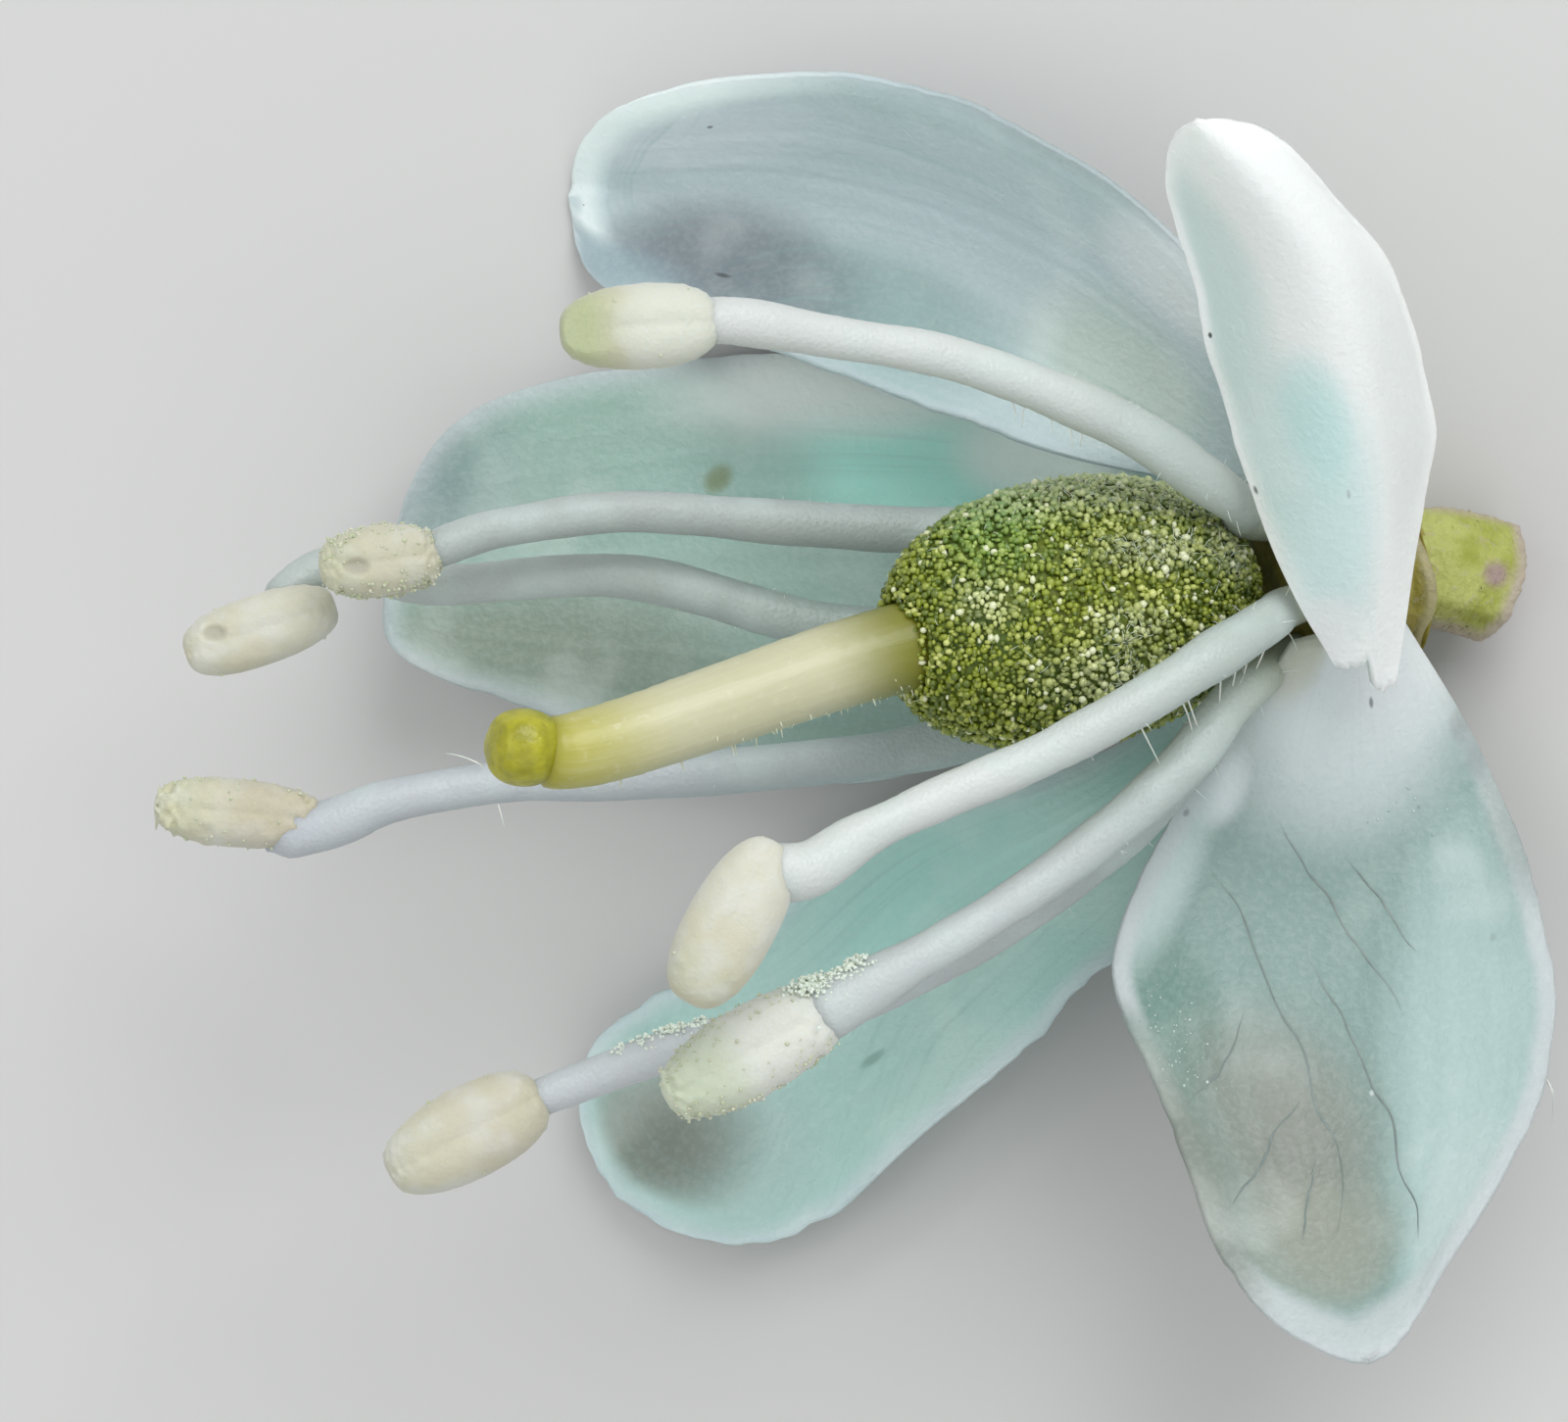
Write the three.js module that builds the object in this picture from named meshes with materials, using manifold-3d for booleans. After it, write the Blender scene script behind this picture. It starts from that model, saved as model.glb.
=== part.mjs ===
// A labrador tea flower, cut with a short stub of its stalk and lying on a flat surface.
// Millimetres, +Z up, origin in the middle of the outline's box, on the surface.
//
// Every piece is first placed in the flower's own "view" frame: x to the right, y up and
// z towards the viewer, with the centre of the receptacle's face at zero. The whole
// flower is then laid down on the backs of two petals and the end of its stalk.

import * as THREE from "three";
import * as BufferGeometryUtils from "three/addons/utils/BufferGeometryUtils.js";
import Module from "manifold-3d";

const wasm = await Module();
wasm.setup();

// Driving dimensions

const SEAT_GAP = 0.2; // clearance between the ovary and what carries it, and round the style
const BLADE = 0.6; // thickness of a petal

const AXIS = vec(-0.895, -0.2, 0.4).normalize(); // the flower's axis, from stalk to face
const FLOOR_NORMAL = vec(-0.226, -0.011, 0.974).normalize(); // up from the surface, in the view frame
const RECEPTACLE_AT = vec(3.47, 1.06, 1.645); // place of the receptacle's face in the part's own frame

// Heights are measured along the axis from the receptacle's face

const receptacle = { radius: 0.85, bevel: 0.08, bottom: -0.85, neckRadius: 0.36, neckAt: -1.25 };
const tooth = { count: 5, reach: 1.08, notch: 0.18, top: -0.98, thickness: 0.12 };
const stalk = { path: [[1.46, 0.25, -0.65], [1.66, 0.17, -0.75], [1.97, 0.06, -0.89]], radius: 0.54 };
const claw = { radius: 1.27, height: -0.35, halfWidth: 0.3 };
const filament = {
  ring: 0.75,
  footHeight: 0.31,
  footRadius: 0.16,
  middleRadius: 0.21,
  middleAt: 0.3,
  tipRadius: 0.17,
};
const antherSac = { offset: 0.36, notch: 0.12, bluntness: 0.8, fullness: 0.6 };

const PETAL_GREEN_WHITE = 0xc9dedb;
const FILAMENT_WHITE = 0xd9e2dc;
const ANTHER_CREAM = 0xdfe0c4;
const OVARY_GREEN = 0x6f8a3a;
const STYLE_YELLOW = 0xcfce90;
const STIGMA_YELLOW = 0xa8a52c;
const CALYX_OLIVE = 0x8c8c3c;
const STALK_GREEN = 0xa6ab5c;

function vec(x, y, z) {
  return new THREE.Vector3(x, y, z);
}

function points(rows) {
  return rows.map((row) => vec(...row));
}

// Directions across the flower's axis: up the picture, and towards the viewer

const ACROSS_UP = vec(0, 1, 0).addScaledVector(AXIS, -AXIS.y).normalize();
const ACROSS_NEAR = new THREE.Vector3().crossVectors(ACROSS_UP, AXIS);

// A point at a radius and an azimuth round the flower's axis, at a height along it

function roundAxis(radius, azimuthDegrees, height) {
  const azimuth = THREE.MathUtils.degToRad(azimuthDegrees);
  return vec(0, 0, 0)
    .addScaledVector(ACROSS_UP, radius * Math.cos(azimuth))
    .addScaledVector(ACROSS_NEAR, radius * Math.sin(azimuth))
    .addScaledVector(AXIS, height);
}

// Petals: each is drawn through three rails, the left margin, the midrib and the right
// margin, from the claw at the receptacle to the tip. The rails lie on the back of the
// petal, and its thickness is laid on the inner side. The margins are waved.

const PETALS = [
  {
    name: "petal_upper",
    azimuth: -25,
    left: [[-1.69, 1.12, -0.9], [-2.97, 1.54, -0.89], [-4.45, 2.1, -1.53], [-5.78, 2.63, -2.67]],
    mid: [[-1.23, 2.03, -1.02], [-2.67, 2.8, -1.82], [-4.24, 3.26, -2.42], [-5.6, 3.39, -2.97]],
    right: [[-0.85, 3.05, -0.08], [-2.3, 4.08, -0.51], [-3.9, 4.53, -1.19], [-5.68, 4.24, -2.33]],
    tip: [-6.1, 3.47, -3.1],
    wave: 0.04,
    waves: 3,
  },
  {
    name: "petal_near",
    azimuth: 125,
    left: [[1.2, 0.34, 1.4], [1.36, 1.53, 1.69], [1.02, 2.67, 2.37], [0.15, 3.68, 3.14]],
    mid: [[0.72, 0.3, 1.99], [0.55, 1.53, 2.71], [0.25, 2.63, 3.26], [-0.32, 3.47, 3.64]],
    right: [[0.06, 0.08, 1.6], [-0.51, 1.53, 1.7], [-0.8, 2.63, 2.16], [-1.02, 3.47, 2.8]],
    tip: [-0.75, 3.93, 3.77],
    wave: 0.04,
    waves: 3,
  },
  {
    name: "petal_far",
    azimuth: -80,
    left: [[-1.44, -0.76, -1.82], [-3.43, -1.69, -1.91], [-5.17, -1.4, -2.12], [-7.29, -0.78, -2.2]],
    mid: [[-1.36, 0.34, -1.91], [-3.14, 0.25, -2.33], [-5.17, 0.17, -2.5], [-7.25, 0.1, -2.44]],
    right: [[-1.27, 1.4, -1.98], [-2.97, 1.9, -2.28], [-4.7, 2.06, -2.62], [-7.05, 1.53, -2.4]],
    tip: [-7.75, -0.04, -2.36],
    wave: 0.04,
    waves: 3,
  },
  {
    name: "petal_lower_left",
    azimuth: -135,
    left: [[-0.76, -2.54, -0.93], [-1.53, -3.49, -1.02], [-2.75, -4.59, -1.4], [-4.24, -5.72, -2.12]],
    mid: [[-1.27, -1.95, -1.4], [-2.54, -2.8, -2.12], [-3.81, -3.94, -2.63], [-5.17, -4.87, -2.92]],
    right: [[-1.48, -1.44, -1.61], [-3.47, -1.99, -2.16], [-4.7, -3.07, -2.46], [-5.96, -4.07, -2.75]],
    tip: [-5.69, -5.34, -2.8],
    wave: 0.06,
    waves: 4,
  },
  {
    name: "petal_lower_right",
    azimuth: 178,
    left: [[1.86, -1.55, -0.34], [2.39, -3.05, 0.51], [2.25, -4.53, 1.02], [1.37, -6.0, 1.69]],
    mid: [[0.59, -2.12, -0.17], [0.42, -3.64, 0.0], [0.59, -5.0, 0.51], [0.72, -6.02, 1.36]],
    right: [[-0.58, -1.86, 0.04], [-1.42, -3.26, 0.51], [-0.85, -4.87, 0.93], [-0.27, -6.13, 1.61]],
    tip: [0.76, -6.65, 2.2],
    wave: 0.05,
    waves: 3,
  },
];
const PETAL_ROWS = 20;
const PETAL_COLUMNS = 8;
const TIP_FROM = 0.68; // past this the blade's thickness turns to one direction, so the tip is clean

// Stamens: the filament's centre line after its foot, and the anther's middle and far end.
// The broad side of an anther, with the groove between its two sacs, faces the viewer.

const STAMENS = [
  {
    azimuth: 28,
    path: [[-0.32, 0.7, 0.98], [-0.66, 0.94, 1.4], [-1.37, 1.4, 1.84], [-2.71, 1.92, 2.36],
      [-3.81, 2.12, 2.8], [-4.64, 2.25, 3.18]],
    anther: { middle: [-5.47, 2.2, 3.39], end: [-6.14, 2.15, 3.47], width: 0.7 },
  },
  {
    azimuth: -26,
    path: [[-1.02, 0.66, -0.68], [-1.8, 0.51, -0.87], [-2.99, 0.5, -0.68], [-4.24, 0.57, -0.34],
      [-5.59, 0.66, 0.0], [-6.61, 0.53, 0.17], [-7.02, 0.42, 0.25]],
    anther: { middle: [-7.72, 0.23, 0.38], end: [-8.25, 0.17, 0.42], width: 0.6 },
  },
  {
    azimuth: -77,
    path: [[-1.27, -0.1, -0.9], [-2.54, -0.34, -0.95], [-3.9, -0.32, -0.8], [-5.59, 0.1, -0.51],
      [-7.29, 0.03, -0.46], [-8.16, 0.2, -0.52]],
    anther: { middle: [-8.77, -0.36, -0.25], end: [-9.42, -0.58, -0.25], width: 0.62 },
  },
  {
    azimuth: -128,
    path: [[-1.02, -0.78, -0.72], [-2.03, -1.13, -0.81], [-3.14, -1.4, -0.72], [-4.24, -1.54, -0.55],
      [-5.59, -1.65, -0.42], [-6.61, -1.67, -0.34], [-7.63, -1.84, -0.25], [-7.98, -1.95, -0.25]],
    anther: { middle: [-8.94, -1.95, -0.21], end: [-9.69, -1.88, -0.21], width: 0.58 },
  },
  {
    azimuth: 100,
    path: [[-0.05, -0.27, 1.3], [-0.59, -0.61, 1.88], [-1.14, -0.96, 2.14], [-2.03, -1.44, 2.34],
      [-2.88, -1.8, 2.55], [-3.56, -2.08, 2.75], [-3.97, -2.36, 2.97]],
    anther: { middle: [-4.68, -2.86, 3.15], end: [-5.06, -3.54, 3.22], width: 0.72 },
  },
  {
    azimuth: 145,
    path: [[-0.38, -1.14, 1.2], [-0.85, -1.75, 1.5], [-1.69, -2.42, 1.65], [-2.54, -2.95, 1.86],
      [-3.52, -3.46, 2.08]],
    anther: { middle: [-4.51, -3.97, 2.22], end: [-5.25, -4.39, 2.27], width: 0.72 },
  },
  {
    azimuth: -170,
    path: [[-0.61, -1.37, 0.17], [-1.44, -2.22, 0.59], [-2.54, -3.01, 0.85], [-3.81, -3.64, 1.02],
      [-5.08, -3.94, 1.1], [-6.08, -4.29, 1.14]],
    anther: { middle: [-6.97, -4.7, 1.19], end: [-7.63, -5.05, 1.2], width: 0.75 },
  },
];

const ovary = {
  foot: vec(-0.13, 0.07, 0.08),
  crown: vec(-3.18, -0.47, 1.4),
  radius: 1.12,
  bluntness: 0.9,
  footTaper: 1.15,
  crownTaper: 0.85,
  glandRelief: 0.07,
  dimple: { mouth: 0.64, floor: 0.6, depth: 0.9 },
};
const style = {
  path: [[-2.67, -0.38, 1.19], [-2.91, -0.44, 1.3], [-3.81, -0.69, 1.69], [-4.89, -1.06, 2.19],
    [-5.59, -1.29, 2.48], [-6.07, -1.41, 2.69]],
  footRadius: 0.38,
  endRadius: 0.32,
};
const stigma = {
  middle: vec(-6.54, -1.37, 2.86),
  radius: 0.34,
  halfLength: 0.3,
  fullness: 0.8,
  lobes: 5,
  lobeRelief: 0.06,
};

function solid(positions, index) {
  const geometry = new THREE.BufferGeometry().setFromPoints(positions);
  geometry.setIndex(index);
  return geometry;
}

// Closed solid from rings of points, with a fan to a pole at each end

function closedTube(rings, firstPole, lastPole) {
  const around = rings[0].length;
  const positions = [firstPole, ...rings.flat(), lastPole];
  const index = [];
  const at = (ring, step) => 1 + ring * around + (step % around);
  for (let step = 0; step < around; step++) {
    index.push(0, at(0, step + 1), at(0, step));
    for (let ring = 0; ring < rings.length - 1; ring++) {
      index.push(at(ring, step), at(ring, step + 1), at(ring + 1, step + 1));
      index.push(at(ring, step), at(ring + 1, step + 1), at(ring + 1, step));
    }
    index.push(positions.length - 1, at(rings.length - 1, step), at(rings.length - 1, step + 1));
  }
  return solid(positions, index);
}

// Round solid about a straight line: the profile gives the height and radius of each ring

function turned(foot, direction, rings, sides, profile) {
  const side = new THREE.Vector3().crossVectors(direction, vec(0, 0, 1)).normalize();
  const front = new THREE.Vector3().crossVectors(direction, side);
  const place = (ring, step) => {
    const angle = (2 * Math.PI * step) / sides;
    const [height, radius] = profile(ring, angle, step);
    return foot.clone()
      .addScaledVector(direction, height)
      .addScaledVector(side, radius * Math.cos(angle))
      .addScaledVector(front, radius * Math.sin(angle));
  };
  const rows = [];
  for (let ring = 1; ring < rings; ring++) {
    rows.push(Array.from({ length: sides }, (_, step) => place(ring, step)));
  }
  return closedTube(rows, place(0, 0), place(rings, 0));
}

// Stem of changing radius along a smooth curve through points

function stem(path, radiusAt, steps, sides) {
  const curve = new THREE.CatmullRomCurve3(path, false, "centripetal");
  const frames = curve.computeFrenetFrames(steps, false);
  const rings = [];
  for (let step = 0; step <= steps; step++) {
    const middle = curve.getPointAt(step / steps);
    const radius = radiusAt(step / steps);
    rings.push(Array.from({ length: sides }, (_, side) => {
      const angle = (2 * Math.PI * side) / sides;
      return middle.clone()
        .addScaledVector(frames.normals[step], radius * Math.cos(angle))
        .addScaledVector(frames.binormals[step], radius * Math.sin(angle));
    }));
  }
  return closedTube(rings, curve.getPointAt(0), curve.getPointAt(1));
}

// The back of a petal as a surface: along runs from 0 at the claw to 1 at the tip, and
// side from -1 at the left margin to 1 at the right one

function petalBack(petal) {
  const seat = roundAxis(claw.radius, petal.azimuth, claw.height);
  const outward = roundAxis(1, petal.azimuth, 0);
  const tip = vec(...petal.tip);
  const [left, mid, right] = [petal.left, petal.mid, petal.right].map(points);
  const across = right[0].clone().sub(left[0]).normalize();
  const inward = new THREE.Vector3().crossVectors(across, mid[0].clone().sub(seat)).normalize();
  const back = seat.addScaledVector(outward, (BLADE / 2) * Math.abs(inward.dot(outward)))
    .addScaledVector(inward, -BLADE / 2);
  const width = across.clone().addScaledVector(outward, -across.dot(outward)).normalize();
  const clawEdge = (side) => back.clone().addScaledVector(width, side * claw.halfWidth);
  const margin = new THREE.CatmullRomCurve3(
    [clawEdge(-1), ...left, tip, ...right.reverse(), clawEdge(1)], false, "catmullrom");
  const midrib = new THREE.CatmullRomCurve3([back, ...mid, tip], false, "catmullrom");
  return (along, side) => {
    const leftPoint = margin.getPoint(along / 2);
    const rightPoint = margin.getPoint(1 - along / 2);
    const midPoint = midrib.getPoint(along);
    const chord = rightPoint.clone().sub(leftPoint);
    const rise = leftPoint.add(rightPoint).multiplyScalar(0.5).sub(midPoint);
    const swing = Math.sin(2 * Math.PI * petal.waves * along + 2 * side) * Math.sin(Math.PI * along);
    return midPoint
      .addScaledVector(chord, side / 2)
      .addScaledVector(rise, side * side)
      .addScaledVector(inward, petal.wave * Math.abs(side) ** 3 * swing);
  };
}

// A petal's blade: its back, its inner face at the blade's thickness, and the rim between

function petalBlade(petal) {
  const back = petalBack(petal);
  const span = 0.05;
  const normalAt = (along, side) => {
    const acrossStep = back(along, side + span).sub(back(along, side - span));
    const alongStep = back(along + span, side).sub(back(Math.max(along - span, 0), side));
    return acrossStep.cross(alongStep).normalize();
  };
  const tipNormal = normalAt(TIP_FROM + 0.1, 0);
  const backRows = [];
  const faceRows = [];
  for (let row = 0; row < PETAL_ROWS; row++) {
    const along = Math.sin((Math.PI / 2) * (row / PETAL_ROWS));
    for (let column = 0; column <= PETAL_COLUMNS; column++) {
      const side = (2 * column) / PETAL_COLUMNS - 1;
      const point = back(along, side);
      const towardsTip = THREE.MathUtils.smoothstep(along, TIP_FROM, 1);
      const normal = normalAt(Math.min(along, 1 - span), side).lerp(tipNormal, towardsTip).normalize();
      backRows.push(point);
      faceRows.push(point.clone().addScaledVector(normal, BLADE));
    }
  }
  const width = PETAL_COLUMNS + 1;
  const faceStart = PETAL_ROWS * width;
  const last = faceStart - width;
  const lastMiddle = last + PETAL_COLUMNS / 2;
  const tip = back(1, 0);
  const faceTip = tip.clone().add(faceRows[lastMiddle]).sub(backRows[lastMiddle]);
  const positions = [...backRows, ...faceRows, tip, faceTip];
  const tipAt = positions.length - 2;
  const faceTipAt = tipAt + 1;
  const index = [];
  const quad = (a, b, c, d) => index.push(a, b, c, a, c, d);
  for (let row = 0; row < PETAL_ROWS - 1; row++) {
    const left = row * width;
    const right = left + PETAL_COLUMNS;
    for (let a = left; a < right; a++) {
      index.push(a, a + width + 1, a + 1, a, a + width, a + width + 1);
      quad(faceStart + a, faceStart + a + 1, faceStart + a + width + 1, faceStart + a + width);
    }
    quad(left, faceStart + left, faceStart + left + width, left + width);
    quad(right, right + width, faceStart + right + width, faceStart + right);
  }
  for (let column = 0; column < PETAL_COLUMNS; column++) {
    const a = last + column;
    index.push(a, tipAt, a + 1);
    index.push(faceStart + a, faceStart + a + 1, faceTipAt);
    quad(column, column + 1, faceStart + column + 1, faceStart + column);
  }
  quad(last, faceStart + last, faceTipAt, tipAt);
  quad(last + PETAL_COLUMNS, tipAt, faceTipAt, faceStart + last + PETAL_COLUMNS);
  return solid(positions, index);
}

// Anther: two pollen sacs side by side, with a groove between them and a notch at the far end

function antherSacs(anther) {
  const middle = vec(...anther.middle);
  const half = vec(...anther.end).sub(middle);
  const halfLength = half.length();
  const rings = 10;
  const sides = 12;
  return turned(middle, half.normalize(), rings, sides, (ring, angle) => {
    const polar = (Math.PI * ring) / rings;
    const cosine = Math.cos(polar);
    const height = -halfLength * Math.sign(cosine) * Math.abs(cosine) ** antherSac.bluntness;
    const sacEdge = Math.sqrt((1 - antherSac.offset) ** 2 - (antherSac.offset * Math.sin(angle)) ** 2);
    const outline = antherSac.offset * Math.abs(Math.cos(angle)) + sacEdge;
    const notch = cosine < 0 ? antherSac.notch * Math.sin(angle) ** 2 * Math.sin(polar) : 0;
    return [height - notch, (anther.width / 2) * Math.sin(polar) ** antherSac.fullness * outline];
  });
}

// Ovary: a blunt egg covered with raised glands, with a dimple in its crown for the style

function ovaryBody() {
  const axis = ovary.crown.clone().sub(ovary.foot);
  const half = axis.length() / 2;
  const rows = 22;
  const sides = 36;
  const egg = [];
  for (let row = 0; row < rows; row++) {
    const polar = (Math.PI * row) / rows;
    const cosine = Math.cos(polar);
    const taper = cosine > 0 ? ovary.footTaper : ovary.crownTaper;
    const radius = ovary.radius * Math.sin(polar) ** taper;
    if (cosine < 0 && radius < ovary.dimple.mouth + ovary.glandRelief) {
      break;
    }
    const rise = Math.sign(cosine) * Math.abs(cosine) ** ovary.bluntness;
    egg.push([half * (1 - rise) + SEAT_GAP, radius]);
  }
  const crownHeight = 2 * half + SEAT_GAP / 2;
  const dimple = [
    [crownHeight, ovary.dimple.mouth],
    [crownHeight - ovary.dimple.depth, ovary.dimple.floor],
    [crownHeight - ovary.dimple.depth, 0],
  ];
  const profile = [...egg, ...dimple];
  return turned(ovary.foot, axis.normalize(), profile.length - 1, sides, (ring, angle, step) => {
    const [height, radius] = profile[ring];
    const isGland = ring % 2 === 0 && (step + ring / 2) % 2 === 0 && ring > 0 && ring < egg.length;
    return [height, radius + (isGland ? ovary.glandRelief * Math.min(1, radius) : 0)];
  });
}

// Calyx: the receptacle's disc, with five short teeth below the petals

function calyxBody() {
  const sides = 30;
  const profile = [
    [0, 0],
    [0, receptacle.radius - receptacle.bevel],
    [-receptacle.bevel, receptacle.radius],
    [receptacle.bottom, receptacle.radius],
    [tooth.top, tooth.reach],
    [tooth.top - tooth.thickness, tooth.reach],
    [receptacle.neckAt, receptacle.neckRadius],
    [receptacle.neckAt, 0],
  ];
  return turned(vec(0, 0, 0), AXIS.clone().negate(), profile.length - 1, sides, (ring, angle) => {
    const [height, radius] = profile[ring];
    const notch = radius === tooth.reach ? (tooth.notch / 2) * (1 - Math.cos(tooth.count * angle)) : 0;
    return [-height, radius - notch];
  });
}

function stigmaHead() {
  const end = vec(...style.path.at(-1));
  const onward = stigma.middle.clone().sub(end).normalize();
  const rings = 8;
  const sides = 15;
  return turned(stigma.middle, onward, rings, sides, (ring, angle) => {
    const polar = (Math.PI * ring) / rings;
    const lobe = 1 + stigma.lobeRelief * Math.cos(stigma.lobes * angle);
    const radius = stigma.radius * Math.sin(polar) ** stigma.fullness * lobe;
    return [-stigma.halfLength * Math.cos(polar), radius];
  });
}

// Laying the flower down, and cutting the small flats that it lies on

const layRight = vec(1, 0, 0).addScaledVector(FLOOR_NORMAL, -FLOOR_NORMAL.x).normalize();
const layBack = new THREE.Vector3().crossVectors(FLOOR_NORMAL, layRight);
const layDown = new THREE.Matrix4()
  .makeBasis(layRight, layBack, FLOOR_NORMAL)
  .transpose()
  .setPosition(RECEPTACLE_AT);

function toManifold(geometry) {
  const merged = BufferGeometryUtils.mergeVertices(geometry, 1e-5);
  return new wasm.Manifold(new wasm.Mesh({
    numProp: 3,
    vertProperties: new Float32Array(merged.attributes.position.array),
    triVerts: new Uint32Array(merged.index.array),
  }));
}

function fromManifold(manifold) {
  const mesh = manifold.getMesh();
  const geometry = new THREE.BufferGeometry();
  geometry.setAttribute("position", new THREE.BufferAttribute(mesh.vertProperties, 3));
  geometry.setIndex(new THREE.BufferAttribute(mesh.triVerts, 1));
  return geometry;
}

function trimAtFloor(geometry) {
  const below = new THREE.BoxGeometry(40, 40, 10).translate(0, 0, -5);
  below.deleteAttribute("normal");
  below.deleteAttribute("uv");
  return fromManifold(toManifold(geometry).subtract(toManifold(below)));
}

const flower = new THREE.Group();

function add(name, geometry, color, roughness) {
  geometry.applyMatrix4(layDown);
  geometry.computeBoundingBox();
  const laid = geometry.boundingBox.min.z < 0 ? trimAtFloor(geometry) : geometry;
  const mesh = new THREE.Mesh(laid, new THREE.MeshStandardMaterial({ color, roughness, metalness: 0 }));
  mesh.name = name;
  flower.add(mesh);
}

for (const petal of PETALS) {
  add(petal.name, petalBlade(petal), PETAL_GREEN_WHITE, 0.55);
}

function filamentRadius(along) {
  const { footRadius, middleRadius, middleAt, tipRadius } = filament;
  return along < middleAt
    ? THREE.MathUtils.lerp(footRadius, middleRadius, along / middleAt)
    : THREE.MathUtils.lerp(middleRadius, tipRadius, (along - middleAt) / (1 - middleAt));
}

STAMENS.forEach((stamen, number) => {
  const foot = roundAxis(filament.ring, stamen.azimuth, filament.footHeight);
  const path = [foot, ...points(stamen.path)];
  add(`filament_${number + 1}`, stem(path, filamentRadius, 12, 8), FILAMENT_WHITE, 0.5);
  add(`anther_${number + 1}`, antherSacs(stamen.anther), ANTHER_CREAM, 0.8);
});

const styleRadius = (along) => THREE.MathUtils.lerp(style.footRadius, style.endRadius, along);
const stalkRadius = (along) => stalk.radius * (along === 1 ? 0.85 : 1);

add("ovary", ovaryBody(), OVARY_GREEN, 0.5);
add("style", stem(points(style.path), styleRadius, 8, 12), STYLE_YELLOW, 0.4);
add("stigma", stigmaHead(), STIGMA_YELLOW, 0.4);
add("calyx", calyxBody(), CALYX_OLIVE, 0.6);
add("pedicel", stem(points(stalk.path), stalkRadius, 6, 16), STALK_GREEN, 0.6);

export default flower;
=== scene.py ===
"""A labrador tea flower, cut and lying on a pale surface.

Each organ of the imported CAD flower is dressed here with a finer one: thin waved petals,
papillose filaments, pollen-dusted anthers, a gland-covered ovary, and hairs. Places are
given in the flower's view frame (millimetres, x right, y up, z towards the viewer, zero at
the centre of the receptacle's face) and are laid down into the part's frame by lay().
"""

import logging
import math
from collections.abc import Sequence
from dataclasses import dataclass
from enum import Enum

import bmesh
import bpy
import numpy as np
from mathutils import Matrix, Vector


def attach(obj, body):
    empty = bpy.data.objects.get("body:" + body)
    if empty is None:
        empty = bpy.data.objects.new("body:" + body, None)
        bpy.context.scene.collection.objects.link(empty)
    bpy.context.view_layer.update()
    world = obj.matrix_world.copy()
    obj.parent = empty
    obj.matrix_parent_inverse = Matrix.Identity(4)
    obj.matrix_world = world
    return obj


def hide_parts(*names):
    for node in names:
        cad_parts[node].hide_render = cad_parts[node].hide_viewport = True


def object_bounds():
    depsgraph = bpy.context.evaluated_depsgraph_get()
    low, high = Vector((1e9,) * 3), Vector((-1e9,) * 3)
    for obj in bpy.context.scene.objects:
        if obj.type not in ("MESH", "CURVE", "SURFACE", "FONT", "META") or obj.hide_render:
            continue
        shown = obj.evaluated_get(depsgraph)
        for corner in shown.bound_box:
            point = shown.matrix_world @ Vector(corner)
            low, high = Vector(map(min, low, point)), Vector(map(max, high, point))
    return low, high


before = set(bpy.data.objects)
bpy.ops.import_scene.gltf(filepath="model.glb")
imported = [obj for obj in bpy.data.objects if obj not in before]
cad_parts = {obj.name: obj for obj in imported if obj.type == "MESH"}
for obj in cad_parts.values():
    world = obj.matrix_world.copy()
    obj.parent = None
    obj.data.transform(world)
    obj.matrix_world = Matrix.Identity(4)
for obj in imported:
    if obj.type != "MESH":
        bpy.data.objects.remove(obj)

logging.basicConfig(level=logging.INFO, format="%(message)s")
log = logging.getLogger("labrador_tea")

Colour = tuple[float, float, float]
Point = tuple[float, float, float]

CAD_BOX = [list(corner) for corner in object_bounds()]
BODY = "root"
MM = 0.001

# The flower's place, as in the CAD part


def unit(vector: np.ndarray) -> np.ndarray:
    """Returns vectors scaled to length one along their last axis."""
    return vector / np.linalg.norm(vector, axis=-1, keepdims=True)


AXIS = unit(np.array([-0.895, -0.2, 0.4]))
ACROSS_UP = unit(np.array([0.0, 1.0, 0.0]) - AXIS[1] * AXIS)
ACROSS_NEAR = np.cross(ACROSS_UP, AXIS)
FLOOR_NORMAL = unit(np.array([-0.226, -0.011, 0.974]))
LAY_RIGHT = unit(np.array([1.0, 0.0, 0.0]) - FLOOR_NORMAL[0] * FLOOR_NORMAL)
LAY = np.array([LAY_RIGHT, np.cross(FLOOR_NORMAL, LAY_RIGHT), FLOOR_NORMAL])
RECEPTACLE_AT = np.array([3.47, 1.06, 1.645])
PHOTO_SCALE = 118.0
PHOTO_ZERO = (1300.0, 600.0)
PHOTO_SIZE = (1600.0, 1451.0)


def lay(points: np.ndarray) -> np.ndarray:
    """Lays points of the view frame down into the part's frame.

    Args:
        points: places in the view frame, in millimetres, on the last axis.

    Returns:
        The same places in the part's frame, in metres.
    """
    return (points @ LAY.T + RECEPTACLE_AT) * MM


def round_axis(radius: float, azimuth: float, height: float) -> np.ndarray:
    """Returns a point round the flower's axis.

    Args:
        radius: distance from the axis, in millimetres.
        azimuth: degrees round the axis, from up towards the viewer.
        height: distance along the axis from the receptacle's face.
    """
    angle = math.radians(azimuth)
    across = ACROSS_UP * math.cos(angle) + ACROSS_NEAR * math.sin(angle)
    return across * radius + AXIS * height


def smoothstep(low: float, high: float, value: np.ndarray) -> np.ndarray:
    """Returns a smooth rise from 0 at low to 1 at high."""
    step = np.clip((value - low) / (high - low), 0.0, 1.0)
    return step * step * (3.0 - 2.0 * step)


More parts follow.
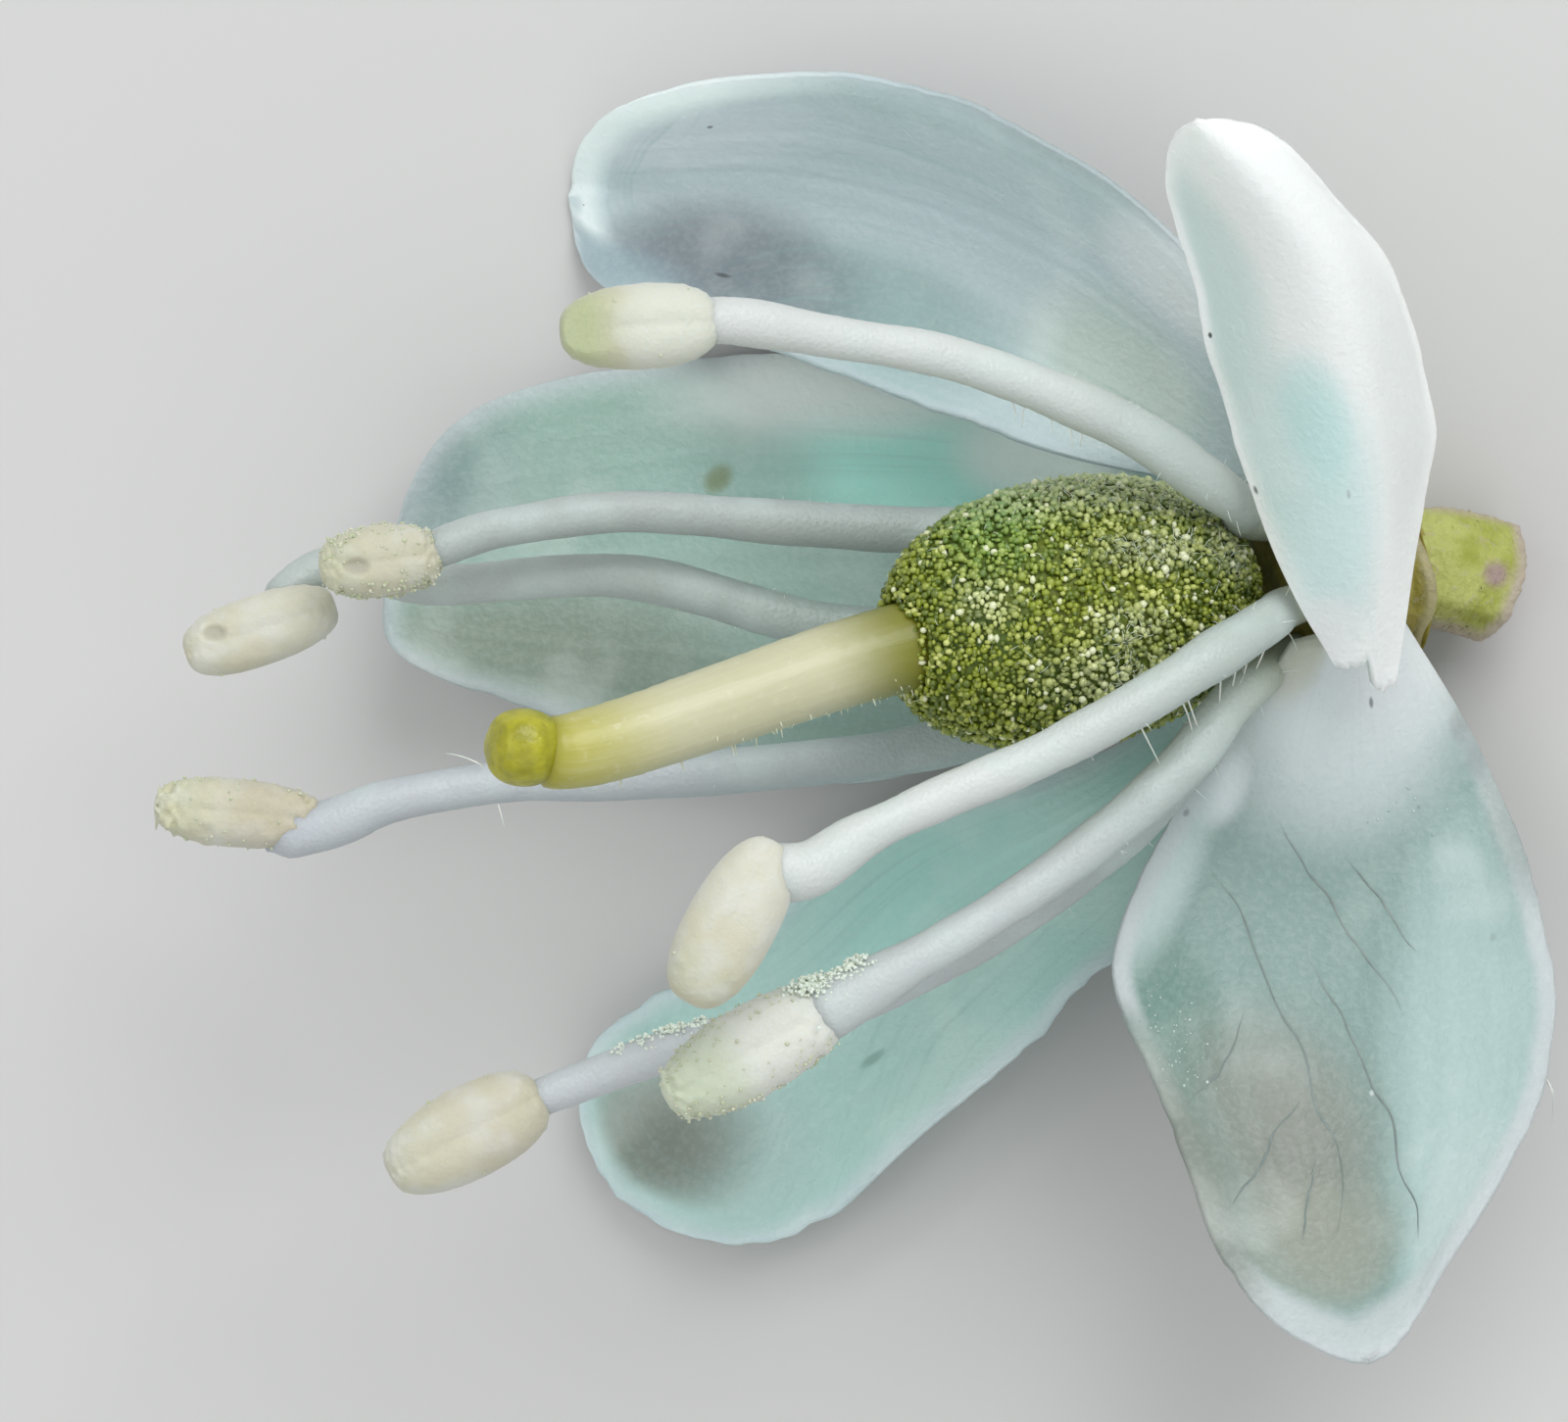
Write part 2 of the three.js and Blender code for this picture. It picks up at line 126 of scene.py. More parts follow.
def spline(stops: np.ndarray, at: np.ndarray) -> np.ndarray:
    """Samples a uniform Catmull-Rom curve.

    Args:
        stops: the points that the curve passes through.
        at: parameters from 0 at the first point to 1 at the last.

    Returns:
        One point for each parameter.
    """
    spans = len(stops) - 1
    place = np.asarray(at, dtype=float) * spans
    index = np.clip(np.floor(place).astype(int), 0, spans - 1)
    part = (place - index)[..., None]
    padded = np.vstack([2 * stops[0] - stops[1], stops, 2 * stops[-1] - stops[-2]])
    before, start, end, after = (padded[index + step] for step in range(4))
    leave, arrive = (end - before) / 2, (after - start) / 2
    square = (3 * (end - start) - 2 * leave - arrive) * part**2
    cube = (2 * (start - end) + leave + arrive) * part**3
    return start + leave * part + square + cube


def even_spline(stops: np.ndarray, count: int) -> np.ndarray:
    """Samples a curve through points at even distances.

    Args:
        stops: the points that the curve passes through.
        count: how many samples to return.
    """
    fine = spline(stops, np.linspace(0.0, 1.0, 400))
    run = np.concatenate([[0.0], np.cumsum(np.linalg.norm(np.diff(fine, axis=0), axis=1))])
    even = np.linspace(0.0, run[-1], count)
    return np.stack([np.interp(even, run, fine[:, k]) for k in range(3)], axis=1)


def ripple(at: np.ndarray, seed: int, waves: Sequence[float]) -> np.ndarray:
    """Returns a sum of sines with seeded phases, between about -1 and 1.

    Args:
        at: parameters to sample.
        seed: seed of the phases.
        waves: how many waves each sine has over one unit of the parameter.
    """
    phases = np.random.default_rng(seed).uniform(0.0, 2 * math.pi, len(waves))
    parts = [np.sin(2 * math.pi * wave * at + phase) for wave, phase in zip(waves, phases)]
    return sum(parts) / math.sqrt(len(waves))


# Shader maths


class Channel:
    """A number that runs through a finish's nodes, with Python's own arithmetic."""

    def __init__(self, tree: "NodeTree", socket: bpy.types.NodeSocket) -> None:
        """Wraps an output socket of a tree."""
        self.tree = tree
        self.socket = socket

    def _math(self, operation: str, first: "Number", second: "Number" = 0.0) -> "Channel":
        """Adds one Math node on two values."""
        return self.tree.node("ShaderNodeMath", {"operation": operation}, {0: first, 1: second})

    def __add__(self, other: "Number") -> "Channel":
        """Adds a value."""
        return self._math("ADD", self, other)

    __radd__ = __add__

    def __sub__(self, other: "Number") -> "Channel":
        """Takes a value away."""
        return self._math("SUBTRACT", self, other)

    def __rsub__(self, other: "Number") -> "Channel":
        """Takes this away from a value."""
        return self._math("SUBTRACT", other, self)

    def __mul__(self, other: "Number") -> "Channel":
        """Multiplies by a value."""
        return self._math("MULTIPLY", self, other)

    __rmul__ = __mul__

    def __truediv__(self, other: "Number") -> "Channel":
        """Divides by a value."""
        return self._math("DIVIDE", self, other)

    def __rtruediv__(self, other: "Number") -> "Channel":
        """Divides a value by this."""
        return self._math("DIVIDE", other, self)

    def __pow__(self, other: "Number") -> "Channel":
        """Raises to a power."""
        return self._math("POWER", self, other)

    def __abs__(self) -> "Channel":
        """Returns the distance from zero."""
        return self._math("ABSOLUTE", self)

    def rise(self, low: float, high: float) -> "Channel":
        """Returns a smooth step from 0 at low to 1 at high; low may be the larger."""
        settings = {"interpolation_type": "SMOOTHSTEP"}
        if low < high:
            return self.tree.node("ShaderNodeMapRange", settings, {0: self, 1: low, 2: high})
        return 1 - self.tree.node("ShaderNodeMapRange", settings, {0: self, 1: high, 2: low})


Number = Channel | float
Link = Channel | float | Sequence[float]


class NodeTree:
    """The nodes of one finish."""

    def __init__(self, name: str) -> None:
        """Makes an empty material of that name."""
        self.material = bpy.data.materials.new(name)
        self.material.use_nodes = True
        self.material.node_tree.nodes.clear()

    def node(
        self,
        kind: str,
        settings: dict[str, object] | None = None,
        inputs: dict[int | str, Link] | None = None,
        output: int | str = 0,
    ) -> Channel:
        """Adds a node.

        Args:
            kind: the node's type.
            settings: its settings, which are set before its sockets.
            inputs: a value or a link for each socket, by name or number.
            output: the output socket to return.

        Returns:
            The output, wrapped as a Channel.
        """
        node = self.material.node_tree.nodes.new(kind)
        for name, value in (settings or {}).items():
            setattr(node, name, value)
        for name, value in (inputs or {}).items():
            if isinstance(value, Channel):
                self.material.node_tree.links.new(value.socket, node.inputs[name])
            elif isinstance(value, (tuple, list)) and len(value) == 3 and node.inputs[name].type == "RGBA":
                node.inputs[name].default_value = (*value, 1.0)
            else:
                node.inputs[name].default_value = value
        return Channel(self, node.outputs[output])

    def mix(self, mask: Link, first: Link, second: Link) -> Channel:
        """Mixes two colours: the first where the mask is 0 and the second where it is 1."""
        return self.node("ShaderNodeMix", {"data_type": "RGBA"}, {0: mask, 6: first, 7: second}, 2)

    def places(self) -> Channel:
        """Returns the place on the whole flower, in metres."""
        return self.node("ShaderNodeTexCoord", output="Object")

    def noise(self, scale: float, detail: float = 2.0, vector: Channel | None = None) -> Channel:
        """Returns a noise between 0 and 1.

        Args:
            scale: how many grains it has in a metre, or in a unit of the vector.
            detail: how many finer layers it has.
            vector: what it is laid over, or None for the flower's own places.
        """
        inputs = {"Vector": vector or self.places(), "Scale": scale, "Detail": detail}
        return self.node("ShaderNodeTexNoise", {}, inputs, "Fac")

    def attribute(self, name: str) -> tuple[Channel, Channel, Channel]:
        """Returns the three numbers that a mesh holds under a name."""
        vector = self.node("ShaderNodeAttribute", {"attribute_name": name}, output="Vector")
        split = self.node("ShaderNodeSeparateXYZ", {}, {0: vector})
        outputs = split.socket.node.outputs
        return tuple(Channel(self, outputs[k]) for k in range(3))

    def bump(self, height: Channel, depth: float) -> Channel:
        """Returns a normal from a height between 0 and 1, with its depth in metres."""
        inputs = {"Height": height, "Distance": depth, "Strength": 1.0}
        return self.node("ShaderNodeBump", {}, inputs, "Normal")

    def finish(self, **inputs: Link) -> bpy.types.Material:
        """Closes the tree with a shader.

        Args:
            inputs: the shader's sockets, with underscores for spaces.

        Returns:
            The finished material.
        """
        named = {name.replace("_", " ").replace("Ior", "IOR"): value for name, value in inputs.items()}
        settings = {"subsurface_method": "BURLEY"}
        shader = self.node("ShaderNodeBsdfPrincipled", settings, named, "BSDF")
        self.node_output(shader)
        return self.material

    def node_output(self, shader: Channel) -> None:
        """Links a shader to the material's output."""
        output = self.material.node_tree.nodes.new("ShaderNodeOutputMaterial")
        self.material.node_tree.links.new(shader.socket, output.inputs["Surface"])


# Meshes


@dataclass
class Skin:
    """Points, faces and per-point numbers of a mesh in the making."""

    points: np.ndarray
    faces: list[tuple[int, ...]]
    places: np.ndarray

    def joined(self, other: "Skin") -> "Skin":
        """Returns this skin and another as one mesh."""
        offset = len(self.points)
        faces = self.faces + [tuple(k + offset for k in face) for face in other.faces]
        points = np.vstack([self.points, other.points])
        return Skin(points, faces, np.vstack([self.places, other.places]))


class Slot(Enum):
    """The record's material slots."""

    PETAL = "petal"
    FILAMENT = "filament"
    ANTHER = "anther"
    OVARY = "ovary"
    STYLE = "style"
    STIGMA = "stigma"
    CALYX = "calyx"
    PEDICEL = "pedicel"


def add_piece(
    name: str, skin: Skin, material: bpy.types.Material, nodes: Sequence[str] = ()
) -> bpy.types.Object:
    """Adds a mesh to the flower, kept inside the CAD part's box.

    Args:
        name: the piece's name.
        skin: its points in the view frame, with faces and places.
        material: its finish.
        nodes: the CAD nodes that it stands for.

    Returns:
        The new object.
    """
    low, high = (np.array(corner) for corner in CAD_BOX)
    margin = 2e-6
    points = np.clip(lay(skin.points), low + margin, high - margin)
    mesh = bpy.data.meshes.new(name)
    mesh.from_pydata(points.tolist(), [], skin.faces)
    mesh.polygons.foreach_set("use_smooth", [True] * len(mesh.polygons))
    place = mesh.attributes.new("place", "FLOAT_VECTOR", "POINT")
    place.data.foreach_set("vector", skin.places.astype(np.float32).ravel())
    mesh.materials.append(material)
    mesh.update()
    piece = bpy.data.objects.new(name, mesh)
    bpy.context.scene.collection.objects.link(piece)
    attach(piece, BODY)
    if nodes:
        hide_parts(*nodes)
    log.info("%s: %d faces", name, len(skin.faces))
    return piece


def tube(path: np.ndarray, radii: np.ndarray) -> Skin:
    """Closed tube round a path.

    Args:
        path: the points of its centre line.
        radii: one row of radii for each point, one for each side.

    Returns:
        A skin whose places are (round from 0 to 1, along from 0 to 1, radius).
    """
    rows, sides = radii.shape
    along = unit(np.gradient(path, axis=0))
    normal = np.zeros_like(path)
    guide = np.cross(along[0], [0.0, 0.0, 1.0])
    for row in range(rows):
        guide = guide - along[row] * (guide @ along[row])
        guide = guide / np.linalg.norm(guide)
        normal[row] = guide
    other = np.cross(along, normal)
    angle = np.linspace(0.0, 2 * math.pi, sides, endpoint=False)
    ring = normal[:, None] * np.cos(angle)[:, None] + other[:, None] * np.sin(angle)[:, None]
    points = (path[:, None] + ring * radii[..., None]).reshape(-1, 3)
    places = np.zeros((rows, sides, 3))
    places[..., 0] = angle / (2 * math.pi)
    places[..., 1] = np.linspace(0.0, 1.0, rows)[:, None]
    places[..., 2] = radii
    faces = closed_faces(rows, sides)
    ends = np.vstack([path[0], path[-1]])
    end_places = np.array([[0.0, 0.0, 0.0], [0.0, 1.0, 0.0]])
    return Skin(np.vstack([points, ends]), faces, np.vstack([places.reshape(-1, 3), end_places]))


def closed_faces(rows: int, sides: int) -> list[tuple[int, ...]]:
    """Returns the faces of closed rings whose two ends each meet in one more point.

    Args:
        rows: Number of rings.
        sides: Number of points in a ring.

    Returns:
        The faces; the point that closes the first ring comes after all the rings, and the point
        that closes the last ring comes after that one.
    """
    faces = ring_faces(rows, sides)
    first, last = rows * sides, rows * sides + 1
    top = (rows - 1) * sides
    for side in range(sides):
        following = (side + 1) % sides
        faces.append((first, following, side))
        faces.append((last, top + side, top + following))
    return faces


def ring_faces(rows: int, sides: int) -> list[tuple[int, ...]]:
    """Returns the faces between closed rings of points."""
    faces = []
    for row in range(rows - 1):
        for side in range(sides):
            following = (side + 1) % sides
            a, b = row * sides + side, row * sides + following
            faces.append((a, b, b + sides, a + sides))
    return faces


def sheet(back: np.ndarray, front: np.ndarray, places: np.ndarray) -> Skin:
    """Closed thin sheet between two grids of points.

    Args:
        back: the grid of the back, rows by columns.
        front: the grid of the front, of the same shape.
        places: the per-point numbers, the same on both grids.

    Returns:
        The sheet with its rims closed.
    """
    rows, columns = back.shape[:2]
    count = rows * columns
    faces = []
    for row in range(rows - 1):
        for column in range(columns - 1):
            a = row * columns + column
            faces.append((a, a + columns, a + columns + 1, a + 1))
            b = a + count
            faces.append((b, b + 1, b + columns + 1, b + columns))
    rim = [row * columns for row in range(rows)]
    rim += [(rows - 1) * columns + column for column in range(1, columns)]
    rim += [row * columns + columns - 1 for row in range(rows - 2, -1, -1)]
    rim += [column for column in range(columns - 2, 0, -1)]
    for start, end in zip(rim, rim[1:] + rim[:1]):
        faces.append((start, start + count, end + count, end))
    points = np.vstack([back.reshape(-1, 3), front.reshape(-1, 3)])
    return Skin(points, faces, np.vstack([places.reshape(-1, 3), places.reshape(-1, 3)]))


def bead_shape(finer: int) -> tuple[np.ndarray, np.ndarray]:
    """Returns the points and triangles of a small round bead of radius one."""
    mesh = bpy.data.meshes.new("bead")
    form = bmesh.new()
    bmesh.ops.create_icosphere(form, subdivisions=finer, radius=1.0)
    form.to_mesh(mesh)
    form.free()
    points = np.array([vertex.co[:] for vertex in mesh.vertices])
    faces = np.array([polygon.vertices[:] for polygon in mesh.polygons])
    bpy.data.meshes.remove(mesh)
    return points, faces


def beads(centres: np.ndarray, sizes: np.ndarray, places: np.ndarray, finer: int) -> Skin:
    """Many small closed beads as one mesh.

    Args:
        centres: the beads' middles.
        sizes: the three half-widths of each bead.
        places: the three numbers that each bead holds.
        finer: how finely each bead is divided.
    """
    shape, triangles = bead_shape(finer)
    points = centres[:, None] + shape[None] * sizes[:, None]
    faces = triangles[None] + (np.arange(len(centres)) * len(shape))[:, None, None]
    spread = np.repeat(places[:, None], len(shape), axis=1).reshape(-1, 3)
    return Skin(points.reshape(-1, 3), [tuple(face) for face in faces.reshape(-1, 3).tolist()], spread)


def hairs(roots: np.ndarray, tips: np.ndarray, sag: np.ndarray, radius: float) -> Skin:
    """Many tapered hairs as one mesh.

    Args:
        roots: where the hairs start.
        tips: where they end.
        sag: how far the middle of each stands off its straight line.
        radius: their radius at the root.

    Returns:
        A skin whose places are (0, along from 0 to 1, 0).
    """
    steps, sides = 6, 4
    at = np.linspace(0.0, 1.0, steps)
    bow = 4 * at * (1 - at)
    path = roots[:, None] + (tips - roots)[:, None] * at[:, None] + sag[:, None] * bow[:, None]
    along = unit(tips - roots)
    side = unit(np.cross(along, [0.31, 0.22, 0.93]))
    front = np.cross(along, side)
    angle = np.linspace(0.0, 2 * math.pi, sides, endpoint=False)
    ring = side[:, None] * np.cos(angle)[:, None] + front[:, None] * np.sin(angle)[:, None]
    radii = radius * (1.0 - 0.75 * at)
    points = path[:, :, None] + ring[:, None] * radii[:, None, None]
    last = (steps - 1) * sides
    pattern = ring_faces(steps, sides)
    pattern += [tuple(range(sides - 1, -1, -1)), tuple(range(last, last + sides))]
    faces = [tuple(k + hair * steps * sides for k in face) for hair in range(len(roots)) for face in pattern]
    places = np.zeros(points.shape)
    places[..., 1] = at[:, None]
    return Skin(points.reshape(-1, 3), faces, places.reshape(-1, 3))


# Petals


@dataclass(frozen=True)
class Tint:
    """A soft patch of colour on a petal, by side (-1 to 1) and along (0 to 1); some are the petal's own
    colour, others are painted shade or painted light.
    """

    colour: Colour
    side: float
    along: float
    wide: float
    long: float
    strength: float = 1.0

    def mask(self, side: Channel, along: Channel) -> Channel:
        """Returns the patch's mask, 1 at its middle and fading to 0."""
        across, up = (side - self.side) / self.wide, (along - self.along) / self.long
        return (across * across + up * up).rise(1.0, 0.0) * self.strength


@dataclass(frozen=True)
class PetalFinish:
    """The colours and marks of one petal. Its pale rim is partly the margin's own paleness and partly a
    painted highlight, and some of its tints and rim tints are painted shade or painted light.
    """

    name: str
    ground: Colour
    rim: Colour
    tints: tuple[Tint, ...] = ()
    specks: tuple[Tint, ...] = ()
    rim_width: float = 0.3
    tip_rim_width: float = 0.3
    rim_flat: float = 0.0
    rim_start: float = 0.05
    tip_from: float = 0.6
    rim_strength: float = 0.8
    rim_tints: tuple[Tint, ...] = ()
    streaks: float = 0.1

    def material(self) -> bpy.types.Material:
        """Builds the petal's material."""
        tree = NodeTree(self.name)
        side, along, inset = tree.attribute("place")
        colour: Link = self.ground
        # Tints: the petal's own colour patches, and patches of painted shade and painted light.
        for tint in self.tints:
            colour = tree.mix(tint.mask(side, along), colour, tint.colour)
        turn = along.rise(0.5, 0.85)
        lane = side * (1 - turn) * 9.0 + inset * turn * 6.0
        fan = tree.node("ShaderNodeCombineXYZ", {}, {0: lane, 1: along * 1.4, 2: 0.0})
        streak = tree.noise(2.2, 2.0, fan)
        darker = tree.mix(0.5, colour, (0.22, 0.38, 0.36))
        colour = tree.mix(streak.rise(0.5, 0.85) * self.streaks * 4.0, colour, darker)
        # Pale rim along the margin: partly the margin's own paleness, partly a painted highlight where the
        # margin catches the light.
        widening = along.rise(self.tip_from, self.tip_from + 0.26)
        width = widening * (self.tip_rim_width - self.rim_width) + self.rim_width
        edge = (inset / width).rise(1.0, self.rim_flat) * along.rise(self.rim_start, self.rim_start + 0.25)
        colour = tree.mix(edge * self.rim_strength, colour, self.rim)
        # Rim tints: the margin's own colour, and on some petals painted light over shade that other parts
        # cast.
        for tint in self.rim_tints:
            colour = tree.mix(tint.mask(side, along), colour, tint.colour)
        cloud = tree.noise(900.0, 2.0)
        paler = tree.mix(0.35, colour, (0.86, 0.9, 0.88))
        colour = tree.mix(cloud.rise(0.5, 0.72) * 0.5, colour, paler)
        cells = tree.noise(16000.0, 2.0)
        colour = tree.mix(cells.rise(0.4, 0.7) * 0.14, colour, paler)
        for speck in self.specks:
            colour = tree.mix(speck.mask(side, along), colour, speck.colour)
        return tree.finish(
            Base_Color=colour,
            Roughness=0.36 + cells * 0.2,
            Normal=tree.bump(cells, 0.000014),
            Subsurface_Weight=0.55,
            Subsurface_Radius=(0.9, 1.1, 1.0),
            Subsurface_Scale=0.0003,
            Specular_Ior_Level=0.4,
            Sheen_Weight=0.12,
        )


@dataclass
class Petal:
    """One petal: a thin waved blade drawn through three rails from its claw to its tip."""

    node: str
    azimuth: float
    left: Sequence[Point]
    mid: Sequence[Point]
    right: Sequence[Point]
    tip: Point
    wave: float
    waves: int
    finish: PetalFinish
    erose: float = 0.02
    roll: float = 0.05
    seed: int = 1
    rows: int = 110
    columns: int = 72
    cad_blade: float = 0.6
    blade: float = 0.13
    claw_radius: float = 0.95
    claw_height: float = -0.35
    claw_half_width: float = 0.4
    claw_tear: float = 0.0
    claw_step: float = 0.0

    def back(self, along: np.ndarray, side: np.ndarray) -> np.ndarray:
        """Returns points on the petal's back.

        Args:
            along: 0 at the claw to 1 at the tip.
            side: -1 at the left margin to 1 at the right one.
        """
        left, mid, right = (np.array(rail) for rail in (self.left, self.mid, self.right))
        tip = np.array(self.tip)
        seat = round_axis(self.claw_radius, self.azimuth, self.claw_height)
        outward = round_axis(1.0, self.azimuth, 0.0)
        across = unit(right[0] - left[0])
        inward = unit(np.cross(across, mid[0] - seat))
        shift = outward * abs(inward @ outward) - inward
        seat = seat + shift * self.cad_blade / 2
        width = unit(across - outward * (across @ outward)) * self.claw_half_width
        margin = np.vstack([seat - width, left, tip, right[::-1], seat + width])
        rib = np.vstack([seat, mid, tip])
        left_points, right_points = spline(margin, along / 2), spline(margin, 1 - along / 2)
        middle = spline(rib, along)
        across_side = side[..., None]
        swing = np.sin(2 * math.pi * self.waves * along + 2 * side) * np.sin(math.pi * along)
        lift = (self.wave * np.abs(side) ** 3 * swing)[..., None]
        rise = ((left_points + right_points) / 2 - middle) * across_side**2
        return middle + (right_points - left_points) * across_side / 2 + rise + inward * lift

    def facing(self, along: np.ndarray, side: np.ndarray) -> np.ndarray:
        """Returns the way from the petal's back to its face, held steady towards the tip."""
        step = 0.02
        held, edge = np.clip(along, step, 0.9), np.clip(side, -0.95, 0.95)
        across = self.back(held, edge + step) - self.back(held, edge - step)
        onward = self.back(held + step, edge) - self.back(held - step, edge)
        steady = np.full_like(along, 0.78), np.zeros_like(side)
        tip_across = self.back(steady[0], steady[1] + step) - self.back(steady[0], steady[1] - step)
        tip_onward = self.back(steady[0] + step, steady[1]) - self.back(steady[0] - step, steady[1])
        blend = smoothstep(0.68, 0.9, along)[..., None]
        own, tip = unit(np.cross(across, onward)), unit(np.cross(tip_across, tip_onward))
        return unit(own * (1 - blend) + tip * blend)

    def lines(self) -> tuple[np.ndarray, np.ndarray]:
        """Returns the alongs of the sheet's rows and the sides of its columns."""
        along = np.sin(math.pi / 2 * np.linspace(0.0, 0.985, self.rows))
        return along, np.sin(math.pi / 2 * np.linspace(-1.0, 1.0, self.columns))

    def grids(self) -> tuple[np.ndarray, np.ndarray]:
        """Returns the sheet's back and front, with erose margins, a rolled rim, fine ribs and a claw."""
        along_grid, side_grid = np.meshgrid(*self.lines(), indexing="ij")
        back, normal = self.back(along_grid, side_grid), self.facing(along_grid, side_grid)
        rib = self.back(along_grid, np.zeros_like(side_grid))
        margin = np.where(side_grid < 0, along_grid / 2, 1 - along_grid / 2)
        teeth = ripple(margin, self.seed, (9.0, 17.0, 31.0, 53.0)) * 0.6
        teeth = teeth + ripple(margin, self.seed + 1, (4.0, 7.0))
        reach = np.linalg.norm(back - rib, axis=-1)
        bite = np.minimum(self.erose * np.clip(teeth + 0.3, 0.0, 2.0), reach * 0.2)
        bite = bite * smoothstep(0.75, 1.0, np.abs(side_grid)) * smoothstep(0.1, 0.35, along_grid)
        back = back + (rib - back) * (bite / np.maximum(reach, 1e-6))[..., None]
        torn = self.claw_tear * ripple(side_grid, self.seed + 4, (1.0, 2.3, 4.1))
        torn = torn - self.claw_step * smoothstep(-0.1, 0.08, side_grid)
        torn = torn * smoothstep(0.2, 0.0, along_grid)
        back = back + unit(back[0] - back[12])[None] * torn[..., None]
        edge = smoothstep(0.72, 1.0, np.abs(side_grid)) * smoothstep(1.0, 0.88, along_grid)
        roll = self.roll * edge * smoothstep(0.2, 0.5, along_grid)
        crinkle = ripple(margin, self.seed + 2, (5.0, 9.0, 14.0)) * edge
        back = back + normal * (roll + 0.018 * crinkle * smoothstep(0.1, 0.4, along_grid))[..., None]
        ribs = ripple(side_grid * 2, self.seed + 3, (3.0, 5.0, 8.0)) * (1 - side_grid**2)
        ribs = ribs * smoothstep(0.02, 0.3, along_grid) * smoothstep(0.92, 0.6, along_grid) * 0.01
        height = back @ FLOOR_NORMAL + RECEPTACLE_AT[2]
        back = back + FLOOR_NORMAL * np.clip(0.004 - height, 0.0, None)[..., None]
        thin = self.blade * (1 - 0.6 * np.abs(side_grid) ** 6) * (1 - 0.4 * along_grid**8)
        return back, back + normal * (thin + ribs)[..., None]

    def grown(self) -> Skin:
        """Returns the petal's sheet, with places that hold (side, along, distance from the margin)."""
        back, front = self.grids()
        along_grid, side_grid = np.meshgrid(*self.lines(), indexing="ij")
        rim = np.vstack([back[:, 0], back[-1, 1:-1], back[::-1, -1]])
        inset = np.linalg.norm(back[:, :, None] - rim, axis=-1).min(axis=-1)
        return sheet(back, front, np.stack([side_grid, along_grid, inset], axis=-1))

    def face(self, along: np.ndarray, side: np.ndarray) -> np.ndarray:
        """Returns points on the petal's grown face.

        Args:
            along: 0 at the claw to 1 at the tip.
            side: -1 at the left margin to 1 at the right one.
        """
        rows, columns = self.lines()
        _, front = self.grids()
        row = np.interp(along, rows, np.arange(len(rows)))
        column = np.interp(side, columns, np.arange(len(columns)))
        low_row = np.clip(row.astype(int), 0, len(rows) - 2)
        low_column = np.clip(column.astype(int), 0, len(columns) - 2)
        up, across = (row - low_row)[:, None], (column - low_column)[:, None]
        near = front[low_row, low_column] * (1 - across) + front[low_row, low_column + 1] * across
        far = front[low_row + 1, low_column] * (1 - across) + front[low_row + 1, low_column + 1] * across
        return near * (1 - up) + far * up

    def build(self) -> None:
        """Adds the petal to the flower."""
        add_piece(f"{self.node}_blade", self.grown(), self.finish.material(), [self.node])


SPECK = (0.03, 0.03, 0.03)

